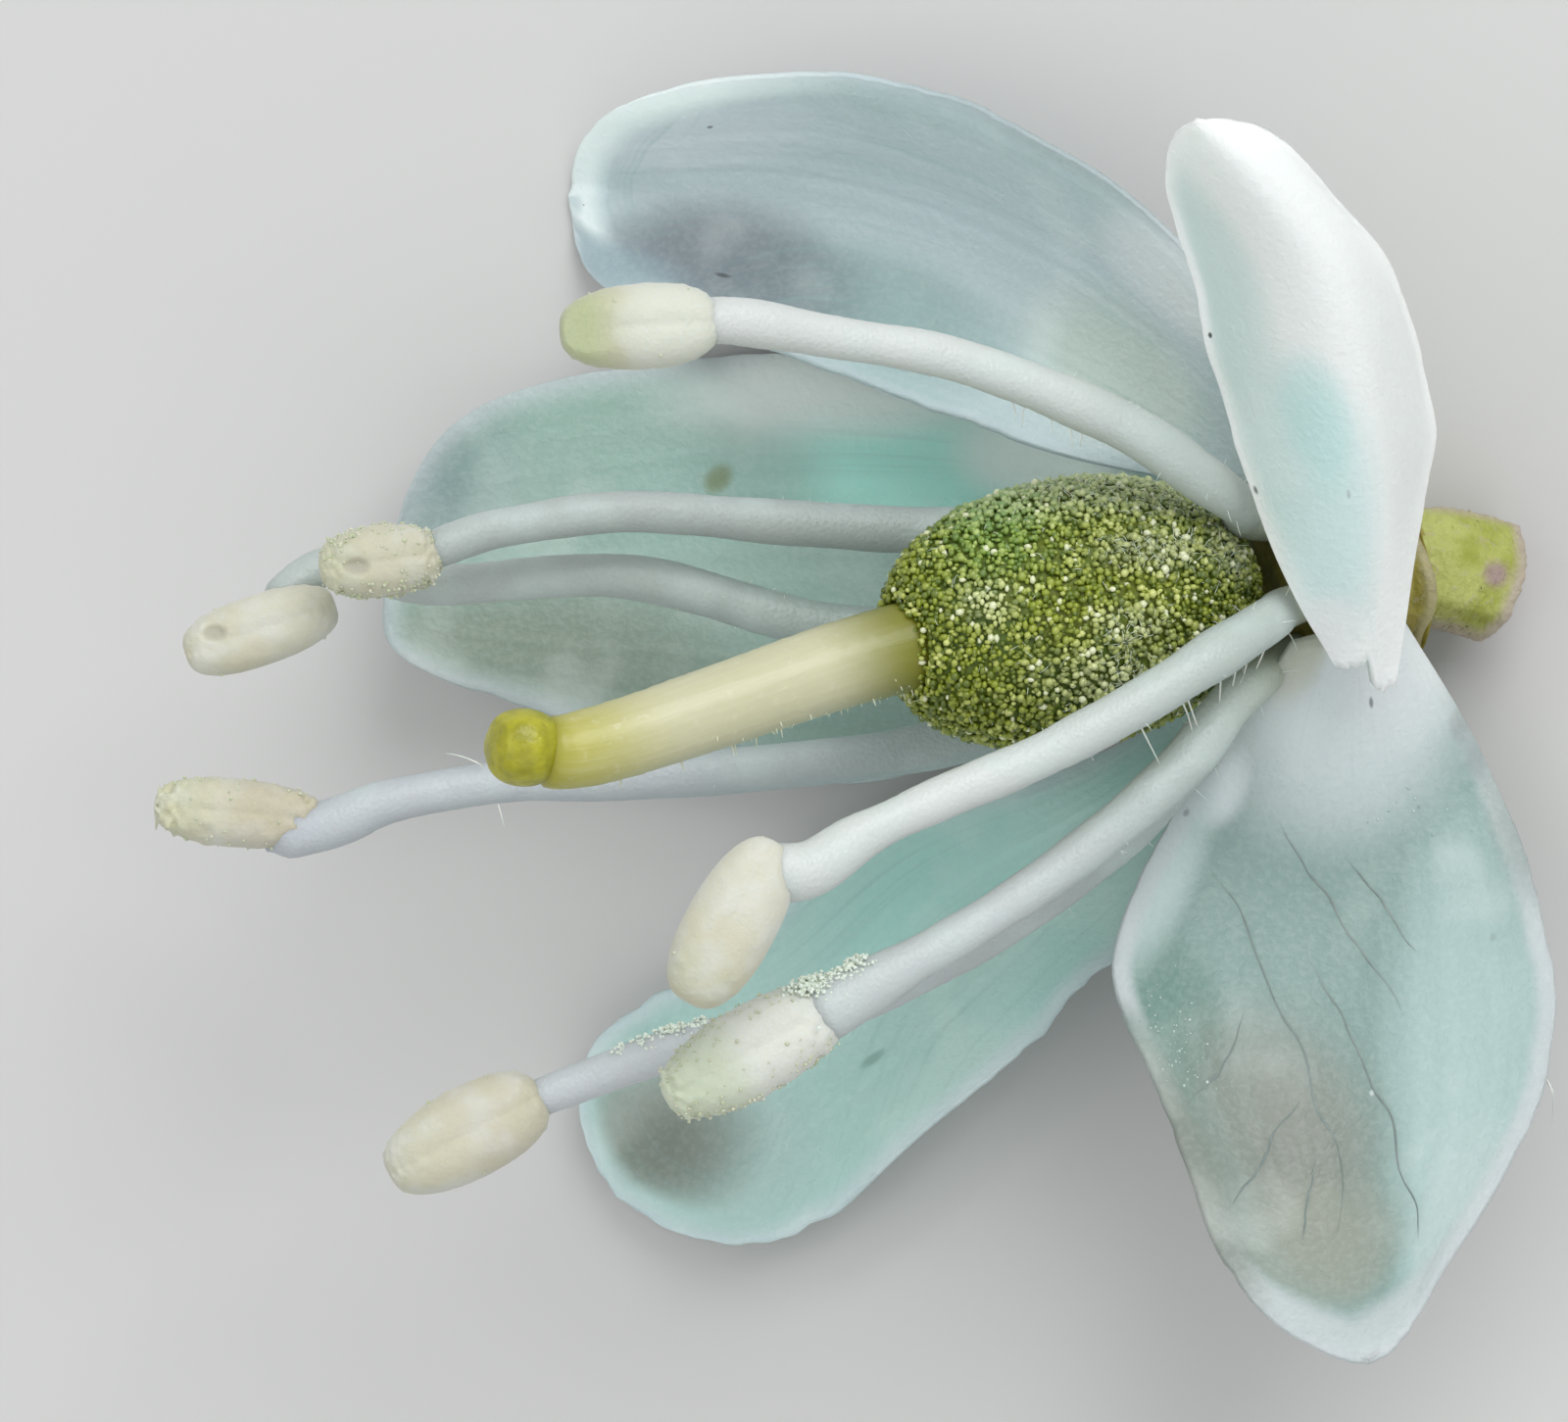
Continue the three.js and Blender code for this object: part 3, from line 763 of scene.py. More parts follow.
PETALS = (
    Petal(
        node="petal_upper",
        azimuth=-25,
        left=((-1.69, 1.12, -0.9), (-2.97, 1.54, -0.89), (-4.45, 2.1, -1.53), (-5.78, 2.63, -2.67)),
        mid=((-1.23, 2.03, -1.02), (-2.67, 2.8, -1.82), (-4.24, 3.26, -2.42), (-5.6, 3.39, -2.97)),
        right=((-0.85, 3.05, -0.08), (-2.3, 4.08, -0.51), (-3.9, 4.53, -1.19), (-5.68, 4.24, -2.33)),
        tip=(-6.1, 3.47, -3.1),
        wave=0.04,
        waves=3,
        seed=11,
        roll=0.015,
        finish=PetalFinish(
            name="upper_petal",
            ground=(0.44, 0.53, 0.55),
            rim=(0.78, 0.88, 0.86),
            tints=(
                Tint((0.49, 0.57, 0.61), 0.45, 0.34, 0.5, 0.3, 0.8),
                Tint((0.25, 0.36, 0.35), -0.5, 0.48, 0.6, 0.22, 0.9),
                # Painted shade: the dark hollow of the cupped blade.
                Tint((0.142, 0.168, 0.188), -0.5, 0.66, 0.75, 0.21, 0.85),
                Tint((0.47, 0.56, 0.5), -0.2, 0.2, 0.8, 0.14, 0.8),
                Tint((0.6, 0.66, 0.7), 0.7, 0.72, 0.4, 0.2, 0.7),
                Tint((0.46, 0.58, 0.62), 0.1, 0.93, 1.0, 0.13, 0.85),
                Tint((0.7, 0.73, 0.75), 0.78, 0.19, 0.36, 0.1, 0.8),
            ),
            rim_width=0.3,
            tip_rim_width=0.42,
            rim_flat=0.35,
            rim_start=0.5,
            rim_strength=0.9,
            rim_tints=(
                Tint((0.46, 0.58, 0.6), -0.25, 0.98, 0.55, 0.07, 0.7),
                # Painted shade: the lower-left margin darkened where the cup's hollow lies in shade.
                Tint((0.26, 0.35, 0.38), -0.78, 0.82, 0.42, 0.16, 0.95),
                Tint((0.34, 0.41, 0.42), 1.05, 0.33, 0.13, 0.24, 0.9),
            ),
            streaks=0.16,
            specks=(
                Tint(SPECK, -0.13, 0.922, 0.018, 0.006),
                Tint(SPECK, 0.707, 0.695, 0.014, 0.004, 0.7),
                Tint((0.05, 0.05, 0.05), -0.585, 0.651, 0.03, 0.012, 0.8),
            ),
        ),
    ),
    Petal(
        node="petal_near",
        azimuth=125,
        left=((1.2, 0.34, 1.4), (1.36, 1.53, 1.69), (1.02, 2.67, 2.37), (0.15, 3.68, 3.14)),
        mid=((0.72, 0.3, 1.99), (0.55, 1.53, 2.71), (0.25, 2.63, 3.26), (-0.32, 3.47, 3.64)),
        right=((0.06, 0.08, 1.6), (-0.51, 1.53, 1.7), (-0.8, 2.63, 2.16), (-1.02, 3.47, 2.8)),
        tip=(-0.75, 3.93, 3.77),
        wave=0.04,
        waves=3,
        seed=23,
        erose=0.012,
        cad_blade=0.1,
        claw_radius=1.56,
        claw_height=-0.14,
        claw_half_width=0.2,
        claw_tear=0.025,
        claw_step=0.33,
        finish=PetalFinish(
            name="near_petal",
            ground=(0.77, 0.79, 0.78),
            rim=(0.8, 0.82, 0.81),
            tints=(
                Tint((0.55, 0.7, 0.69), 0.45, 0.26, 0.9, 0.26, 0.95),
                Tint((0.47, 0.7, 0.69), 0.28, 0.38, 0.4, 0.12, 0.6),
                Tint((0.54, 0.67, 0.65), 0.85, 0.6, 0.5, 0.3, 0.85),
                Tint((0.74, 0.75, 0.76), 0.75, 0.08, 0.7, 0.09, 0.8),
                Tint((0.68, 0.7, 0.69), -0.6, 0.43, 0.4, 0.3, 0.8),
                Tint((0.63, 0.7, 0.62), 0.7, 0.97, 0.8, 0.06, 0.7),
            ),
            rim_tints=(
                Tint((0.86, 0.88, 0.88), 1.0, 0.62, 0.09, 0.26, 0.9),
                Tint((0.84, 0.86, 0.86), 1.0, 0.3, 0.06, 0.2, 0.8),
            ),
            specks=(
                Tint(SPECK, 0.95, 0.508, 0.02, 0.006),
                Tint(SPECK, 0.96, 0.3, 0.02, 0.006, 0.8),
                Tint((0.2, 0.22, 0.22), 0.1, 0.28, 0.03, 0.008, 0.4),
            ),
            streaks=0.02,
        ),
    ),
    Petal(
        node="petal_far",
        azimuth=-80,
        left=((-1.44, -0.76, -1.82), (-3.43, -1.69, -1.91), (-5.17, -1.4, -2.12), (-7.29, -0.78, -2.2)),
        mid=((-1.36, 0.34, -1.91), (-3.14, 0.25, -2.33), (-5.17, 0.17, -2.5), (-7.25, 0.1, -2.44)),
        right=((-1.27, 1.4, -1.98), (-2.97, 1.9, -2.28), (-4.7, 2.06, -2.62), (-7.05, 1.53, -2.4)),
        tip=(-7.75, -0.04, -2.36),
        wave=0.04,
        waves=3,
        seed=31,
        finish=PetalFinish(
            name="far_petal",
            ground=(0.28, 0.41, 0.36),
            rim=(0.4, 0.45, 0.46),
            tints=(
                # Painted light: this pale patch near the base lifts a place that lies in the shade of a
                # filament and the upper petal.
                Tint((0.88, 0.95, 0.92), 0.9, 0.44, 0.5, 0.24, 0.95),
                # The petal's own teal, made paler as painted light over the shade of a filament and the
                # ovary.
                Tint((0.47, 0.95, 0.83), 0.52, 0.39, 0.5, 0.19, 0.9),
                Tint((0.29, 0.45, 0.4), 0.4, 0.58, 0.4, 0.12, 0.7),
                Tint((0.17, 0.23, 0.24), 0.5, 0.88, 0.8, 0.18, 0.75),
                Tint((0.2, 0.245, 0.19), -0.5, 0.72, 0.6, 0.24, 0.85),
            ),
            rim_tints=(
                # Painted light: these pale patches lift margins that lie in the shade of the ovary and the
                # style.
                Tint((0.88, 0.97, 0.93), 0.9, 0.47, 0.35, 0.16, 0.9),
                Tint((0.88, 1.0, 0.95), 0.62, 0.28, 0.4, 0.11, 0.95),
            ),
            specks=(Tint((0.16, 0.2, 0.08), 0.429, 0.579, 0.09, 0.016, 0.75),),
        ),
    ),
    Petal(
        node="petal_lower_left",
        azimuth=-135,
        left=((-0.76, -2.54, -0.93), (-1.53, -3.49, -1.02), (-2.75, -4.59, -1.4), (-4.24, -5.72, -2.12)),
        mid=((-1.27, -1.95, -1.4), (-2.54, -2.8, -2.12), (-3.81, -3.94, -2.63), (-5.17, -4.87, -2.92)),
        right=((-1.48, -1.44, -1.61), (-3.47, -1.99, -2.16), (-4.7, -3.07, -2.46), (-5.96, -4.07, -2.75)),
        tip=(-5.69, -5.34, -2.8),
        wave=0.06,
        waves=4,
        seed=47,
        erose=0.045,
        finish=PetalFinish(
            name="lower_left_petal",
            ground=(0.41, 0.62, 0.57),
            rim=(0.5, 0.6, 0.62),
            tints=(
                Tint((0.36, 0.67, 0.6), 0.3, 0.36, 0.7, 0.26, 0.85),
                Tint((0.4, 0.52, 0.5), -0.2, 0.8, 0.9, 0.16, 0.7),
                Tint((0.14, 0.15, 0.115), 0.15, 0.83, 0.85, 0.16, 0.85),
                Tint((0.36, 0.6, 0.56), -0.75, 0.42, 0.35, 0.12, 0.6),
            ),
            specks=(Tint((0.16, 0.3, 0.26), -0.361, 0.591, 0.05, 0.02, 0.6),),
            streaks=0.14,
        ),
    ),
    Petal(
        node="petal_lower_right",
        azimuth=115,
        left=((1.86, -1.55, -0.34), (2.39, -3.05, 0.51), (2.25, -4.53, 1.02), (1.37, -6.0, 1.69)),
        mid=((0.59, -2.12, -0.17), (0.42, -3.64, 0.0), (0.59, -5.0, 0.51), (0.72, -6.02, 1.36)),
        right=((-0.8, -1.83, 0.04), (-1.42, -3.26, 0.51), (-0.85, -4.87, 0.93), (-0.27, -6.13, 1.61)),
        tip=(0.76, -6.65, 2.2),
        wave=0.05,
        waves=3,
        seed=59,
        cad_blade=0.1,
        claw_radius=0.9,
        claw_height=-0.2,
        claw_half_width=0.52,
        roll=0.03,
        finish=PetalFinish(
            name="lower_right_petal",
            ground=(0.22, 0.315, 0.295),
            rim=(0.48, 0.52, 0.53),
            rim_width=0.22,
            tip_rim_width=0.8,
            tip_from=0.7,
            rim_flat=0.4,
            rim_strength=0.9,
            streaks=0.05,
            tints=(
                # Pale top: partly the petal's own pale lilac, partly painted light over the shadow that the
                # near petal casts.
                Tint((0.68, 0.74, 0.75), 0.0, 0.0, 1.6, 0.25, 0.95),
                Tint((0.66, 0.7, 0.71), -0.6, 0.02, 0.9, 0.13, 0.9),
                Tint((0.4, 0.52, 0.51), -0.66, 0.55, 0.5, 0.4, 0.95),
                Tint((0.47, 0.56, 0.55), -0.76, 0.7, 0.34, 0.14, 0.75),
                # Painted light: lifts the top corner that lies in a filament's shadow.
                Tint((0.75, 0.8, 0.82), 0.86, 0.17, 0.22, 0.06, 0.8),
                Tint((0.13, 0.23, 0.195), 0.74, 0.44, 0.36, 0.12, 0.85),
                Tint((0.21, 0.225, 0.195), 0.3, 0.58, 0.66, 0.22, 0.95),
                Tint((0.27, 0.285, 0.24), 0.25, 0.74, 0.8, 0.15, 0.9),
                # Painted highlight along the curled fold of the margin.
                Tint((0.46, 0.56, 0.55), 0.95, 0.28, 0.24, 0.15, 0.95),
                Tint((0.48, 0.49, 0.38), 0.75, 0.0, 0.5, 0.08, 0.8),
            ),
            rim_tints=(
                Tint((0.15, 0.25, 0.22), 1.05, 0.52, 0.32, 0.09, 0.9),
                Tint((0.19, 0.215, 0.185), 1.05, 0.64, 0.4, 0.24, 0.95),
                Tint((0.27, 0.3, 0.3), -0.95, 0.14, 0.12, 0.025, 0.6),
                Tint((0.28, 0.33, 0.32), -1.02, 0.26, 0.17, 0.13, 0.9),
                Tint((0.36, 0.38, 0.38), -0.76, 1.0, 0.3, 0.05, 0.75),
            ),
            specks=(
                Tint((0.6, 0.66, 0.64), -0.198, 0.514, 0.016, 0.005, 0.8),
                Tint((0.1, 0.1, 0.12), 0.95, 0.211, 0.02, 0.006, 0.5),
                Tint((0.08, 0.08, 0.09), -0.241, 0.071, 0.03, 0.007, 0.7),
                Tint((0.25, 0.28, 0.29), -0.938, 0.183, 0.08, 0.03, 0.5),
                Tint((0.2, 0.25, 0.24), -0.788, 0.374, 0.02, 0.006, 0.4),
            ),
        ),
    ),
)


@dataclass(frozen=True)
class VeinFinish:
    """The dusky green of the veins on a petal's face."""

    name: str

    def material(self) -> bpy.types.Material:
        """Builds the veins' material."""
        tree = NodeTree(self.name)
        cloud = tree.noise(2500.0, 2.0)
        colour = tree.mix(cloud.rise(0.4, 0.65), (0.26, 0.335, 0.315), (0.34, 0.42, 0.4))
        return tree.finish(
            Base_Color=colour,
            Roughness=0.42 + cloud * 0.2,
            Subsurface_Weight=0.55,
            Subsurface_Radius=(0.9, 1.1, 1.0),
            Subsurface_Scale=0.0003,
        )


@dataclass(frozen=True)
class DewFinish:
    """Tiny glistening glands on a petal's face."""

    name: str

    def material(self) -> bpy.types.Material:
        """Builds the glands' material. The places hold each gland's tone."""
        tree = NodeTree(self.name)
        tone, _, _ = tree.attribute("place")
        cloud = tree.noise(40000.0)
        colour = tree.mix(tone, (0.3, 0.4, 0.37), (0.6, 0.7, 0.66))
        return tree.finish(
            Base_Color=colour, Roughness=0.15 + cloud * 0.1, Coat_Weight=0.4, Coat_Roughness=0.1
        )


@dataclass
class PetalMarks:
    """The fine veins and the tiny glands on the face of one petal."""

    petal: Petal
    veins: Sequence[Sequence[tuple[float, float]]] = (
        ((0.73, 0.253), (0.448, 0.307), (0.241, 0.387), (0.11, 0.451), (0.11, 0.526), (0.022, 0.573),
         (0.022, 0.641), (0.154, 0.733)),
        ((0.448, 0.183), (0.066, 0.266), (-0.11, 0.321), (-0.241, 0.361), (-0.326, 0.4), (-0.367, 0.439)),
        ((0.11, 0.334), (-0.066, 0.4), (-0.11, 0.439), (-0.198, 0.501), (-0.284, 0.55), (-0.326, 0.619),
         (-0.448, 0.683), (-0.598, 0.752)),
        ((0.154, 0.514), (0.367, 0.561), (0.525, 0.608), (0.862, 0.673)),
        ((0.367, 0.4), (0.448, 0.451), (0.562, 0.489), (0.814, 0.538)),
        ((0.154, 0.596), (0.284, 0.662), (0.408, 0.724)),
        ((-0.022, 0.225), (-0.241, 0.28), (-0.448, 0.361)),
    )
    vein_radius: float = 0.014
    left_glands: int = 60
    top_glands: int = 22
    seed: int = 83

    def threads(self) -> Skin:
        """Returns the veins, each a thin tapered thread sunk in the petal's face."""
        whole, rows = None, 90
        at = np.linspace(0.0, 1.0, rows)
        for number, vein in enumerate(self.veins):
            side, along, _ = even_spline(np.array([(*stop, 0.0) for stop in vein]), rows).T
            side = side + 0.0015 * len(vein) * ripple(at, self.seed + number, (2.0, 4.0))
            body = np.sin(math.pi * at) ** 0.6
            radius = self.vein_radius * (0.4 + 0.6 * body)
            radius = radius * (1 + 0.2 * ripple(at, self.seed + 20 + number, (3.0, 7.0)))
            sunk = self.petal.facing(along, side) * (radius * (1.05 - 0.4 * body))[:, None]
            thread = tube(self.petal.face(along, side) - sunk, np.repeat(radius[:, None], 8, axis=1))
            whole = thread if whole is None else whole.joined(thread)
        return whole

    def glands(self) -> Skin:
        """Returns the glands: a mottled patch at the petal's left and a few spots near its base."""
        draw = np.random.default_rng(self.seed)
        left, top = self.left_glands, self.top_glands
        along = np.concatenate([draw.normal(0.47, 0.035, left), draw.uniform(0.165, 0.235, top)])
        side = np.concatenate([draw.normal(0.77, 0.09, left), draw.uniform(-0.7, -0.1, top)])
        centres = self.petal.face(along, np.clip(side, -0.94, 0.94))
        sizes = draw.uniform(0.006, 0.015, (left + top, 1)) * draw.uniform(0.8, 1.3, (left + top, 3))
        return beads(centres, sizes, np.repeat(draw.uniform(0.0, 1.0, (left + top, 1)), 3, axis=1), 1)

    def build(self) -> None:
        """Adds the veins and the glands to the flower."""
        add_piece("petal_veins", self.threads(), VeinFinish("petal_veins").material())
        add_piece("petal_glands", self.glands(), DewFinish("petal_glands").material())


# Stamens


@dataclass(frozen=True)
class FilamentFinish:
    """The near-white, finely papillose skin of the filaments, with painted shade: darker towards the foot
    deep in the flower.
    """

    name: str
    near: Colour
    far: Colour
    foot_reach: float = 0.17

    def material(self) -> bpy.types.Material:
        """Builds the filaments' material."""
        tree = NodeTree(self.name)
        _, along, _ = tree.attribute("place")
        papillae = tree.node(
            "ShaderNodeTexVoronoi", {"feature": "F1"}, {"Vector": tree.places(), "Scale": 26000.0}, "Distance"
        )
        cloud = tree.noise(1500.0, 2.0)
        # Painted shade: the far colour darkens the filament towards its foot, deep in the flower.
        colour = tree.mix(along.rise(0.75, 0.2), self.near, self.far)
        colour = tree.mix(cloud.rise(0.45, 0.7) * 0.4, colour, (0.56, 0.66, 0.63))
        colour = tree.mix(along.rise(self.foot_reach, 0.04) * 0.6, colour, (0.4, 0.43, 0.26))
        colour = tree.mix(papillae.rise(0.3, 0.7) * 0.12, colour, (0.5, 0.6, 0.58))
        return tree.finish(
            Base_Color=colour,
            Roughness=0.34 + cloud * 0.15,
            Normal=tree.bump(1 - papillae, 0.000007),
            Subsurface_Weight=0.5,
            Subsurface_Radius=(1.0, 1.0, 0.95),
            Subsurface_Scale=0.00025,
            Specular_Ior_Level=0.45,
        )


@dataclass(frozen=True)
class AntherFinish:
    """The cream, powdery skin of an anther, with a greyer pore near the end."""

    cream: Colour = (0.55, 0.53, 0.41)
    pale: Colour = (0.6, 0.6, 0.54)
    white: Colour = (0.66, 0.68, 0.64)
    blush: Colour = (0.42, 0.35, 0.25)
    green: Colour = (0.38, 0.45, 0.23)
    pore: Colour = (0.42, 0.41, 0.33)

    def material(self, name: str) -> bpy.types.Material:
        """Builds an anther's material.

        The places hold (pore, greenness, whiteness), where a whiteness below zero is a pinkish blush.

        Args:
            name: the material's name.
        """
        tree = NodeTree(name)
        pore, greenness, whiteness = tree.attribute("place")
        cloud = tree.noise(2600.0, 2.0)
        powder = tree.noise(24000.0, 2.0)
        colour = tree.mix(cloud.rise(0.42, 0.68), self.cream, self.pale)
        colour = tree.mix(whiteness.rise(0.0, 1.0), colour, self.white)
        colour = tree.mix(whiteness.rise(0.0, -1.0), colour, self.blush)
        colour = tree.mix(greenness * 0.85, colour, self.green)
        colour = tree.mix(powder.rise(0.6, 0.45) * 0.12, colour, (0.6, 0.56, 0.36))
        colour = tree.mix(pore, colour, self.pore)
        return tree.finish(
            Base_Color=colour,
            Roughness=0.5 + powder * 0.25,
            Normal=tree.bump(powder * 0.5 + cloud * 0.5, 0.00002),
            Subsurface_Weight=0.35,
            Subsurface_Radius=(1.0, 0.9, 0.6),
            Subsurface_Scale=0.0002,
            Sheen_Weight=0.3,
        )


@dataclass(frozen=True)
class PollenFinish:
    """Loose pollen grains that cling to the anthers."""

    name: str

    def material(self) -> bpy.types.Material:
        """Builds the pollen's material. The places hold each grain's tone."""
        tree = NodeTree(self.name)
        tone, _, _ = tree.attribute("place")
        colour = tree.mix(tone, (0.62, 0.62, 0.5), (0.47, 0.54, 0.34))
        colour = tree.mix(tone.rise(0.0, -0.6), colour, (0.74, 0.82, 0.74))
        colour = tree.mix(tree.noise(60000.0).rise(0.5, 0.7) * 0.3, colour, (0.7, 0.7, 0.6))
        return tree.finish(
            Base_Color=colour,
            Roughness=0.55,
            Subsurface_Weight=0.3,
            Subsurface_Radius=(0.9, 1.0, 0.8),
            Subsurface_Scale=0.00003,
        )


@dataclass
class Anther:
    """One anther: two pollen sacs side by side, with pores at the far end."""

    middle: Point
    end: Point
    width: float
    ragged: float = 0.012
    greenness: float = 0.1
    whiteness: float = 0.1
    pore: Point | None = None
    grains: int = 130
    seed: int = 1
    bluntness: float = 0.62
    rows: int = 72
    sides: int = 64
    sac_offset: float = 0.24

    @property
    def half(self) -> np.ndarray:
        """Returns the way from the anther's middle to its far end."""
        return np.array(self.end) - np.array(self.middle)

    def surface(self, polar: np.ndarray, angle: np.ndarray) -> np.ndarray:
        """Returns points on the anther.

        Args:
            polar: 0 at the near end to pi at the far end.
            angle: radians round its length.
        """
        half = self.half
        direction = unit(half)
        side = unit(np.cross(direction, [0.0, 0.0, 1.0]))
        front = np.cross(direction, side)
        cosine = np.cos(polar)
        height = -np.linalg.norm(half) * np.sign(cosine) * np.abs(cosine) ** 0.85
        edge = np.sqrt((1 - self.sac_offset) ** 2 - (self.sac_offset * np.sin(angle)) ** 2)
        outline = self.sac_offset * np.abs(np.cos(angle)) + edge
        swell = 1 + 0.05 * np.sin(polar * 1.3 + self.seed) - 0.04 * np.cos(2 * polar)
        radius = self.width / 2 * np.sin(polar) ** self.bluntness * outline * swell
        lumps = ripple(polar / math.pi + self.seed, self.seed, (3.0, 7.0, 13.0))
        lumps = lumps * ripple(angle / (2 * math.pi), self.seed + 5, (2.0, 5.0, 9.0))
        ends = smoothstep(0.35, 0.95, np.abs(cosine))
        poles = np.minimum(1.0, np.sin(polar) * 3)
        radius = radius * (1 + 0.012 * lumps) + self.ragged * lumps * (0.15 + ends) * poles
        radius = np.maximum(radius, 0.0) * np.minimum(1.0, np.sin(polar) * 12)
        return (
            np.array(self.middle)
            + direction * height[..., None]
            + side * (radius * np.cos(angle))[..., None]
            + front * (radius * np.sin(angle))[..., None]
        )

    def sacs(self) -> Skin:
        """Returns the anther's closed skin."""
        polar = np.linspace(0.0, math.pi, self.rows + 2)[1:-1]
        angle = np.linspace(0.0, 2 * math.pi, self.sides, endpoint=False)
        grid_polar, grid_angle = np.meshgrid(polar, angle, indexing="ij")
        points = self.surface(grid_polar, grid_angle).reshape(-1, 3)
        faces = closed_faces(self.rows, self.sides)
        near, far = np.array(self.middle) - self.half, np.array(self.end)
        points = np.vstack([points, near, far])
        places = np.zeros((len(points), 3))
        if self.pore is not None:
            distance = np.linalg.norm((points - np.array(self.pore)) * [1.0, 1.5, 0.5], axis=1)
            places[:, 0] = smoothstep(0.14, 0.07, distance)
            points = points - np.array([0.0, 0.0, 0.05]) * places[:, :1]
        tilt = (points - near) @ self.half / (self.half @ self.half) / 2
        places[:, 1] = self.greenness * np.clip(0.25 + 0.9 * smoothstep(0.55, 0.95, tilt), 0.0, 1.0)
        places[:, 2] = self.whiteness * smoothstep(0.75, 0.4, tilt)
        return Skin(points, faces, places)

    def pollen(self) -> tuple[np.ndarray, np.ndarray, np.ndarray]:
        """Returns the middles, half-widths and tones of the grains that cling to the anther."""
        draw = np.random.default_rng(self.seed + 100)
        polar = np.arccos(draw.uniform(-0.97, 0.97, self.grains))
        clump = draw.choice([0.0, math.pi, math.pi / 2], self.grains, p=[0.4, 0.4, 0.2])
        angle = clump + draw.normal(0.0, 0.55, self.grains)
        centres = self.surface(polar, angle)
        centres = centres + draw.normal(0.0, 0.008, centres.shape)
        sizes = draw.uniform(0.009, 0.02, (self.grains, 1)) * draw.uniform(0.8, 1.2, (self.grains, 3))
        return centres, sizes, np.repeat(draw.uniform(0.0, 1.0, (self.grains, 1)), 3, axis=1)


@dataclass
class Stamen:
    """A stamen: a filament that rises from the receptacle and carries an anther."""

    number: int
    azimuth: float
    path: Sequence[Point]
    anther: Anther
    # Painted shade: the foot colour darkens each filament towards its foot, and the end colour is dimmer on
    # filaments that lie in shade.
    end_colour: Colour = (0.61, 0.64, 0.62)
    shaded_foot_colour: Colour = (0.47, 0.53, 0.5)
    foot_reach: float = 0.17
    swell: float = 0.0
    tongue: Point | None = None
    fuzz: tuple[float, float] | None = None
    finish: AntherFinish = AntherFinish()
    ring: float = 0.75
    fuzz_grains: int = 900
    foot_radius: float = 0.17
    middle_radius: float = 0.215
    tip_radius: float = 0.165
    rows: int = 150
    sides: int = 28

    def centre_line(self) -> np.ndarray:
        """Returns the filament's centre line, from inside the receptacle to inside the anther."""
        foot = [round_axis(self.ring * 0.75, self.azimuth, -0.3), round_axis(self.ring, self.azimuth, 0.31)]
        held = np.array(self.anther.middle) - self.anther.half * 0.62
        if self.tongue is not None:
            held = np.array(self.tongue)
        stops = np.vstack([foot, np.array(self.path), held])
        return even_spline(stops, self.rows)

    def filament(self) -> Skin:
        """Returns the filament's skin, with fine papillae."""
        at = np.linspace(0.0, 1.0, self.rows)
        stops = [0.1, self.foot_radius, self.middle_radius, self.tip_radius]
        radius = np.interp(at, [0.0, 0.06, 0.3, 1.0], stops) + self.swell * smoothstep(0.78, 0.97, at)
        radius = radius * (1 + 0.03 * ripple(at, self.number, (2.0, 5.0, 9.0)))
        radius = radius * np.sqrt(np.clip(1 - smoothstep(0.975, 1.0, at) * 0.8, 0.0, 1.0))
        draw = np.random.default_rng(self.number)
        grain = draw.normal(0.0, 0.0012, (self.rows, self.sides))
        return tube(self.centre_line(), radius[:, None] + grain)

    def strewn(self) -> tuple[np.ndarray, np.ndarray, np.ndarray]:
        """Returns the middles, half-widths and tones of the grains that lie along the filament's top."""
        draw = np.random.default_rng(self.number + 200)
        low, high = (int(self.rows * share) for share in self.fuzz)
        count = self.fuzz_grains
        rows = draw.integers(low, high, count)
        way = unit(np.array([-0.25, 1.0, 0.35]) + draw.normal(0.0, 0.3, (count, 3)))
        bare = self.tip_radius + self.swell * 0.8
        reach = np.interp(rows / self.rows, [0.93, 1.0], [bare, max(bare, self.anther.width * 0.45)])
        waver = 1 + ripple(rows / self.rows, self.number, (13.0, 31.0))
        pile = draw.exponential(0.016, count) * waver - 0.012
        centres = self.centre_line()[rows] + way * (reach + np.clip(pile, -0.014, 0.045))[:, None]
        sizes = draw.uniform(0.012, 0.022, (count, 1)) * draw.uniform(0.8, 1.2, (count, 3))
        return centres, sizes, np.repeat(draw.uniform(-1.0, -0.3, (count, 1)), 3, axis=1)

    def build(self) -> None:
        """Adds the stamen to the flower."""
        thread, head = f"filament_{self.number}", f"anther_{self.number}"
        skin = FilamentFinish(thread, self.end_colour, self.shaded_foot_colour, self.foot_reach).material()
        add_piece(f"{thread}_thread", self.filament(), skin, [thread])
        add_piece(f"{head}_sacs", self.anther.sacs(), self.finish.material(head), [head])
